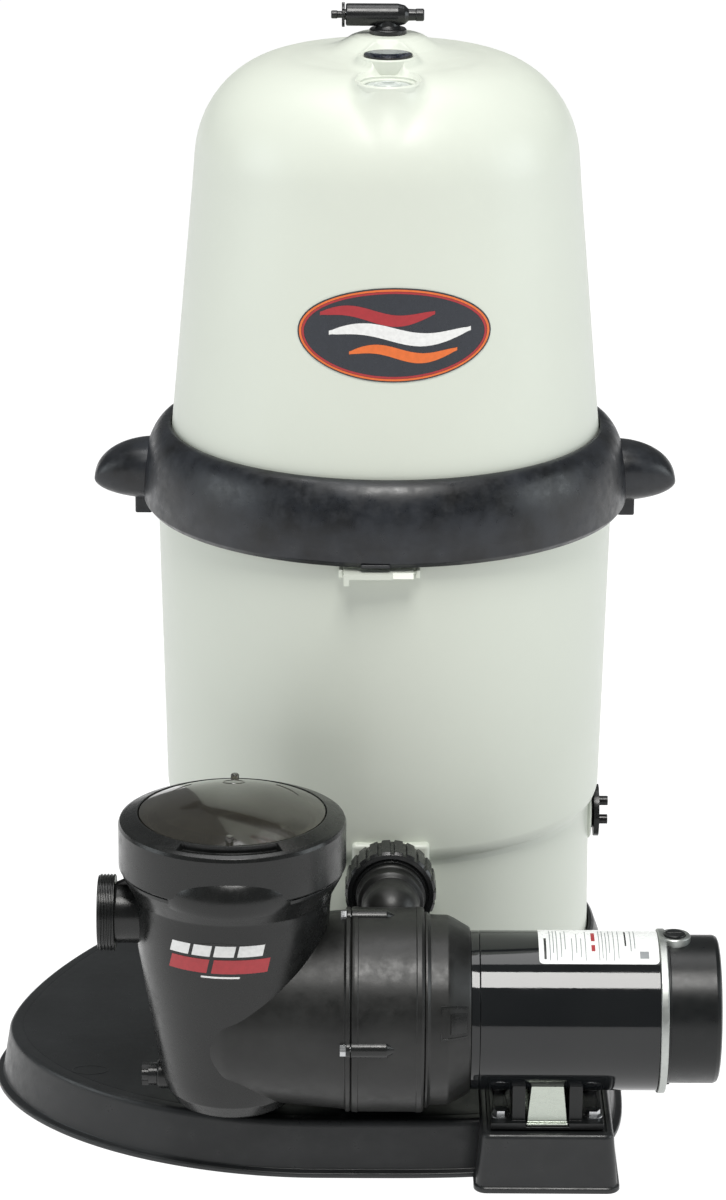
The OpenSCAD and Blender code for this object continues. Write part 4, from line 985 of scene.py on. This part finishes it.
for tag, x1, a0, a1 in (("strip_top", 74, 24.0, 25.4), ("strip_low", 74, 4.6, 6.0), ("strip_end", 51.2, 5.5, 9.0),
                        ("strip_top_end", 51.2, 21.0, 24.5)):
    latch_strip(f"bracket_{tag}", 50, x1, a0, a1, 0.7)
latch_strip("bracket_pad", 59, 73.5, 8.0, 21.0, 0.9)
tube = fillet([(67.6, 86.2), (67.6, 85.1, 0.3), (70.6, 85.0, 0.4), (71.0, 85.6, 0.4), (71.0, 243.2, 0.3),
               (70.4, 243.45, 0.3),
               (67.6, 243.45, 0.3), (67.6, 86.2)], 0.3, 3)
piece("shell_tube", *spun(tube, "x", 256, y=PUMP_Y, z=PUMP_Z), "base", SHELL, replaces=("motor_shell",),
      slot="shell_black")
bell = fillet([(10.2, 246), (10.2, 243.7), (72.4, 243.6, 0.8), (73.2, 244.4, 0.8), (73.2, 249.8, 0.8),
               (72.4, 250.55, 0.6),
               (10.2, 250.55)], 0.6)
piece("bell_ring", *spun(bell, "x", 224, y=PUMP_Y, z=PUMP_Z), "base", BELL, replaces=("rear_bell",), slot="bell_metal")
hub = fillet([(17.6, 243.8), (17.6, 234.3), (22.4, 234.3, 0.6), (23, 235, 0.5), (23, 243.8)], 0.4)
piece("bell_hub", *spun(hub, "x", 64, y=PUMP_Y, z=PUMP_Z), "base", BELL, slot="bell_metal")
boss = fillet([(10.2, 202), (10.2, 218.8, 0.3), (10.8, 219.4, 0.4), (13.4, 219.4, 0.6), (14.4, 218.4, 0.8),
               (14.5, 199)], 0.4)
piece("conduit_boss", *spun(boss, seg=80, x=258, y=PUMP_Y), "base", BELL, slot="bell_metal")
cork = fillet([(9.9, 208.1), (9.9, 219.2, 0.3), (9.4, 220.6, 0.6), (8.0, 221.2, 0.5), (0.01, 221.2)], 0.4)
piece("plug_disc", *spun(cork, seg=64, x=258, y=PUMP_Y), "base", COVER_BLACK, replaces=("conduit_plug",),
      slot="cover_black")
piece("plug_slot_rib", *block(251.6, 264.4, PUMP_Y - 1.1, PUMP_Y + 1.1, 220.8, 221.7), "base", COVER_BLACK, bevel=0.4,
      slot="cover_black")
lug = block(247, 252.2, PUMP_Y - 9, PUMP_Y + 9, 71.2, 78.0)
piece("bell_foot_tab", *lug, "base", BELL, bevel=1.0, parts=3, slot="bell_metal")
cap = fillet([(63.4, 250.9), (66.6, 250.75, 0.3), (67.0, 251.2, 0.3), (66.9, 252.6, 0.4), (66.0, 253.2, 0.3),
              (66.0, 293.4, 1.6),
              (64.6, 296.6, 2.2), (61.4, 297.95, 1.6), (30, 297.95), (0.01, 297.95)], 0.6, 5)
piece("cap_shell", *spun(cap, "x", 224, y=PUMP_Y, z=PUMP_Z + 2), "base", COVER_BLACK, replaces=("end_cover",),
      slot="cover_black",
      angle=40)
rim = block(251.2, 256.4, PUMP_Y - 14, PUMP_Y + 10, 80.0, 84.6)
piece("cap_tab", *rim, "base", COVER_BLACK, bevel=1.0, parts=3, slot="cover_black")


def label_patch(name, x0, x1, a0, a1, lift, material, corner=0.0, replaces=()):
    """A patch round the shell; angles run from the top towards the front."""
    r = 71.2 + lift
    wide, high = x1 - x0, math.radians(a1 - a0) * r
    nx, na = 36, 24
    rings = []
    for j in range(na + 1):
        v = high * (1 - math.cos(math.pi * j / na)) / 2
        near = min(v, high - v)
        inset = corner - math.sqrt(max(corner**2 - (corner - near) ** 2, 0)) if near < corner else 0.0
        a = math.radians(a0) + v / r
        rings.append([(x0 + inset + (wide - 2 * inset) * i / nx, PUMP_Y - r * math.sin(a), PUMP_Z + r * math.cos(a))
                      for i in range(nx + 1)])
    return piece(name, *loft(rings, False, False, closed=False), "base", material, replaces=replaces,
                 slot="paper_label")


label_patch("label_sheet", 137, 243, -30, 32, 0.16, PAPER, corner=4.0, replaces=("rating_label",))
bars = [(141.5, 143.6, 4, 28, INK_DARK), (146.5, 147.3, -12, 29, INK_GREY), (149.5, 150.3, -12, 22, INK_GREY),
        (152.5, 153.3, -12, 29, INK_GREY), (156.5, 157.3, -8, 26, INK_GREY), (160, 160.8, -12, 18, INK_GREY),
        (166, 166.7, 4, 29, INK_GREY), (170, 170.7, -4, 22, INK_GREY), (174, 174.7, 4, 26, INK_GREY),
        (178, 178.7, -10, 29, INK_GREY), (183.5, 186.8, -6, 8, INK_RED), (183.5, 186.8, 13, 20, INK_RED),
        (190, 190.7, -12, 29, INK_GREY), (193, 193.7, -12, 27, INK_GREY), (196, 196.7, -8, 29, INK_GREY),
        (199, 199.7, -12, 22, INK_GREY), (203, 203.7, -12, 29, INK_GREY), (207, 207.7, -12, 27, INK_GREY),
        (213, 214.4, -10, 14, INK_DARK), (218, 218.8, -12, 20, INK_GREY), (221.5, 222.3, -12, 17, INK_GREY),
        (226, 234, 20, 27, INK_GREY)]
for k, (x0, x1, a0, a1, ink_m) in enumerate(bars):
    label_patch(f"label_bar_{k}", x0, x1, a0, a1, 0.24, ink_m)

# ---- room, light, camera ----


def floor():
    mesh = bpy.data.meshes.new("floor")
    seg, radius = 96, 45.0
    mesh.from_pydata([(x, y, 0) for x, y in oval(radius, radius, seg)], [], [tuple(range(seg))])
    obj = bpy.data.objects.new("floor", mesh)
    bpy.context.scene.collection.objects.link(obj)
    k = Maker("pale_floor")
    tone = k.ramp(k.noise(0.7, 3), [(0.3, (0.20, 0.20, 0.20)), (0.7, (0.23, 0.23, 0.23))])
    k.set(Base_Color=tone, Roughness=k.span(k.noise(3, 3), 0.75, 0.85), Specular_IOR_Level=0.1,
          Emission_Color=(1.0, 1.0, 1.0), Emission_Strength=0.96)
    mesh.materials.append(k.m)


def softbox(name, place, aim, wide, high, radiance, colour=(1, 1, 1)):
    """An area light of that radiance, aimed at a point."""
    light = bpy.data.lights.new(name, "AREA")
    light.shape = "RECTANGLE"
    light.size, light.size_y = wide, high
    light.energy = radiance * math.pi * wide * high
    light.color = colour
    obj = bpy.data.objects.new(name, light)
    bpy.context.scene.collection.objects.link(obj)
    obj.location = place
    obj.rotation_euler = (Vector(aim) - Vector(place)).to_track_quat("-Z", "Y").to_euler()
    return obj


floor()
world = bpy.data.worlds.new("studio")
bpy.context.scene.world = world
world.use_nodes = True
sky = world.node_tree.nodes["Background"]
sky.inputs["Color"].default_value = (0.97, 1.0, 1.0, 1)
sky.inputs["Strength"].default_value = 0.16

mid = row(0, -150, 450)
motor_mid = row(150, PUMP_Y, PUMP_Z)
softbox("overhead_strip", motor_mid + Vector((0, -1.95, 4.6)), motor_mid, 1.9, 2.1, 15.0, (1.0, 0.99, 0.965))
softbox("left_bank", mid + Vector((-3.4, -0.5, 1.0)), mid, 1.8, 1.6, 2.7, (0.90, 0.97, 1.0))
softbox("right_bank", mid + Vector((3.4, -0.3, 1.0)), mid, 1.8, 1.6, 3.4, (0.90, 0.97, 1.0))
softbox("top_bank", mid + Vector((-0.2, 0.6, 3.4)), mid, 2.6, 1.6, 3.2)

cam = bpy.data.cameras.new("camera")
eye = bpy.data.objects.new("camera", cam)
bpy.context.scene.collection.objects.link(eye)
PITCH, ROLL = 18.0, 0.3
cam.sensor_width = 36
cam.lens = 126
eye.matrix_world = (
    Matrix.Translation(row(-20, -3794.5, 1652.5))
    @ Matrix.Rotation(math.radians(90 - PITCH), 4, "X")
    @ Matrix.Rotation(math.radians(ROLL), 4, "Z")
)
bpy.context.scene.camera = eye
view = bpy.context.scene.view_settings
view.view_transform = "Standard"
view.exposure = 0.0
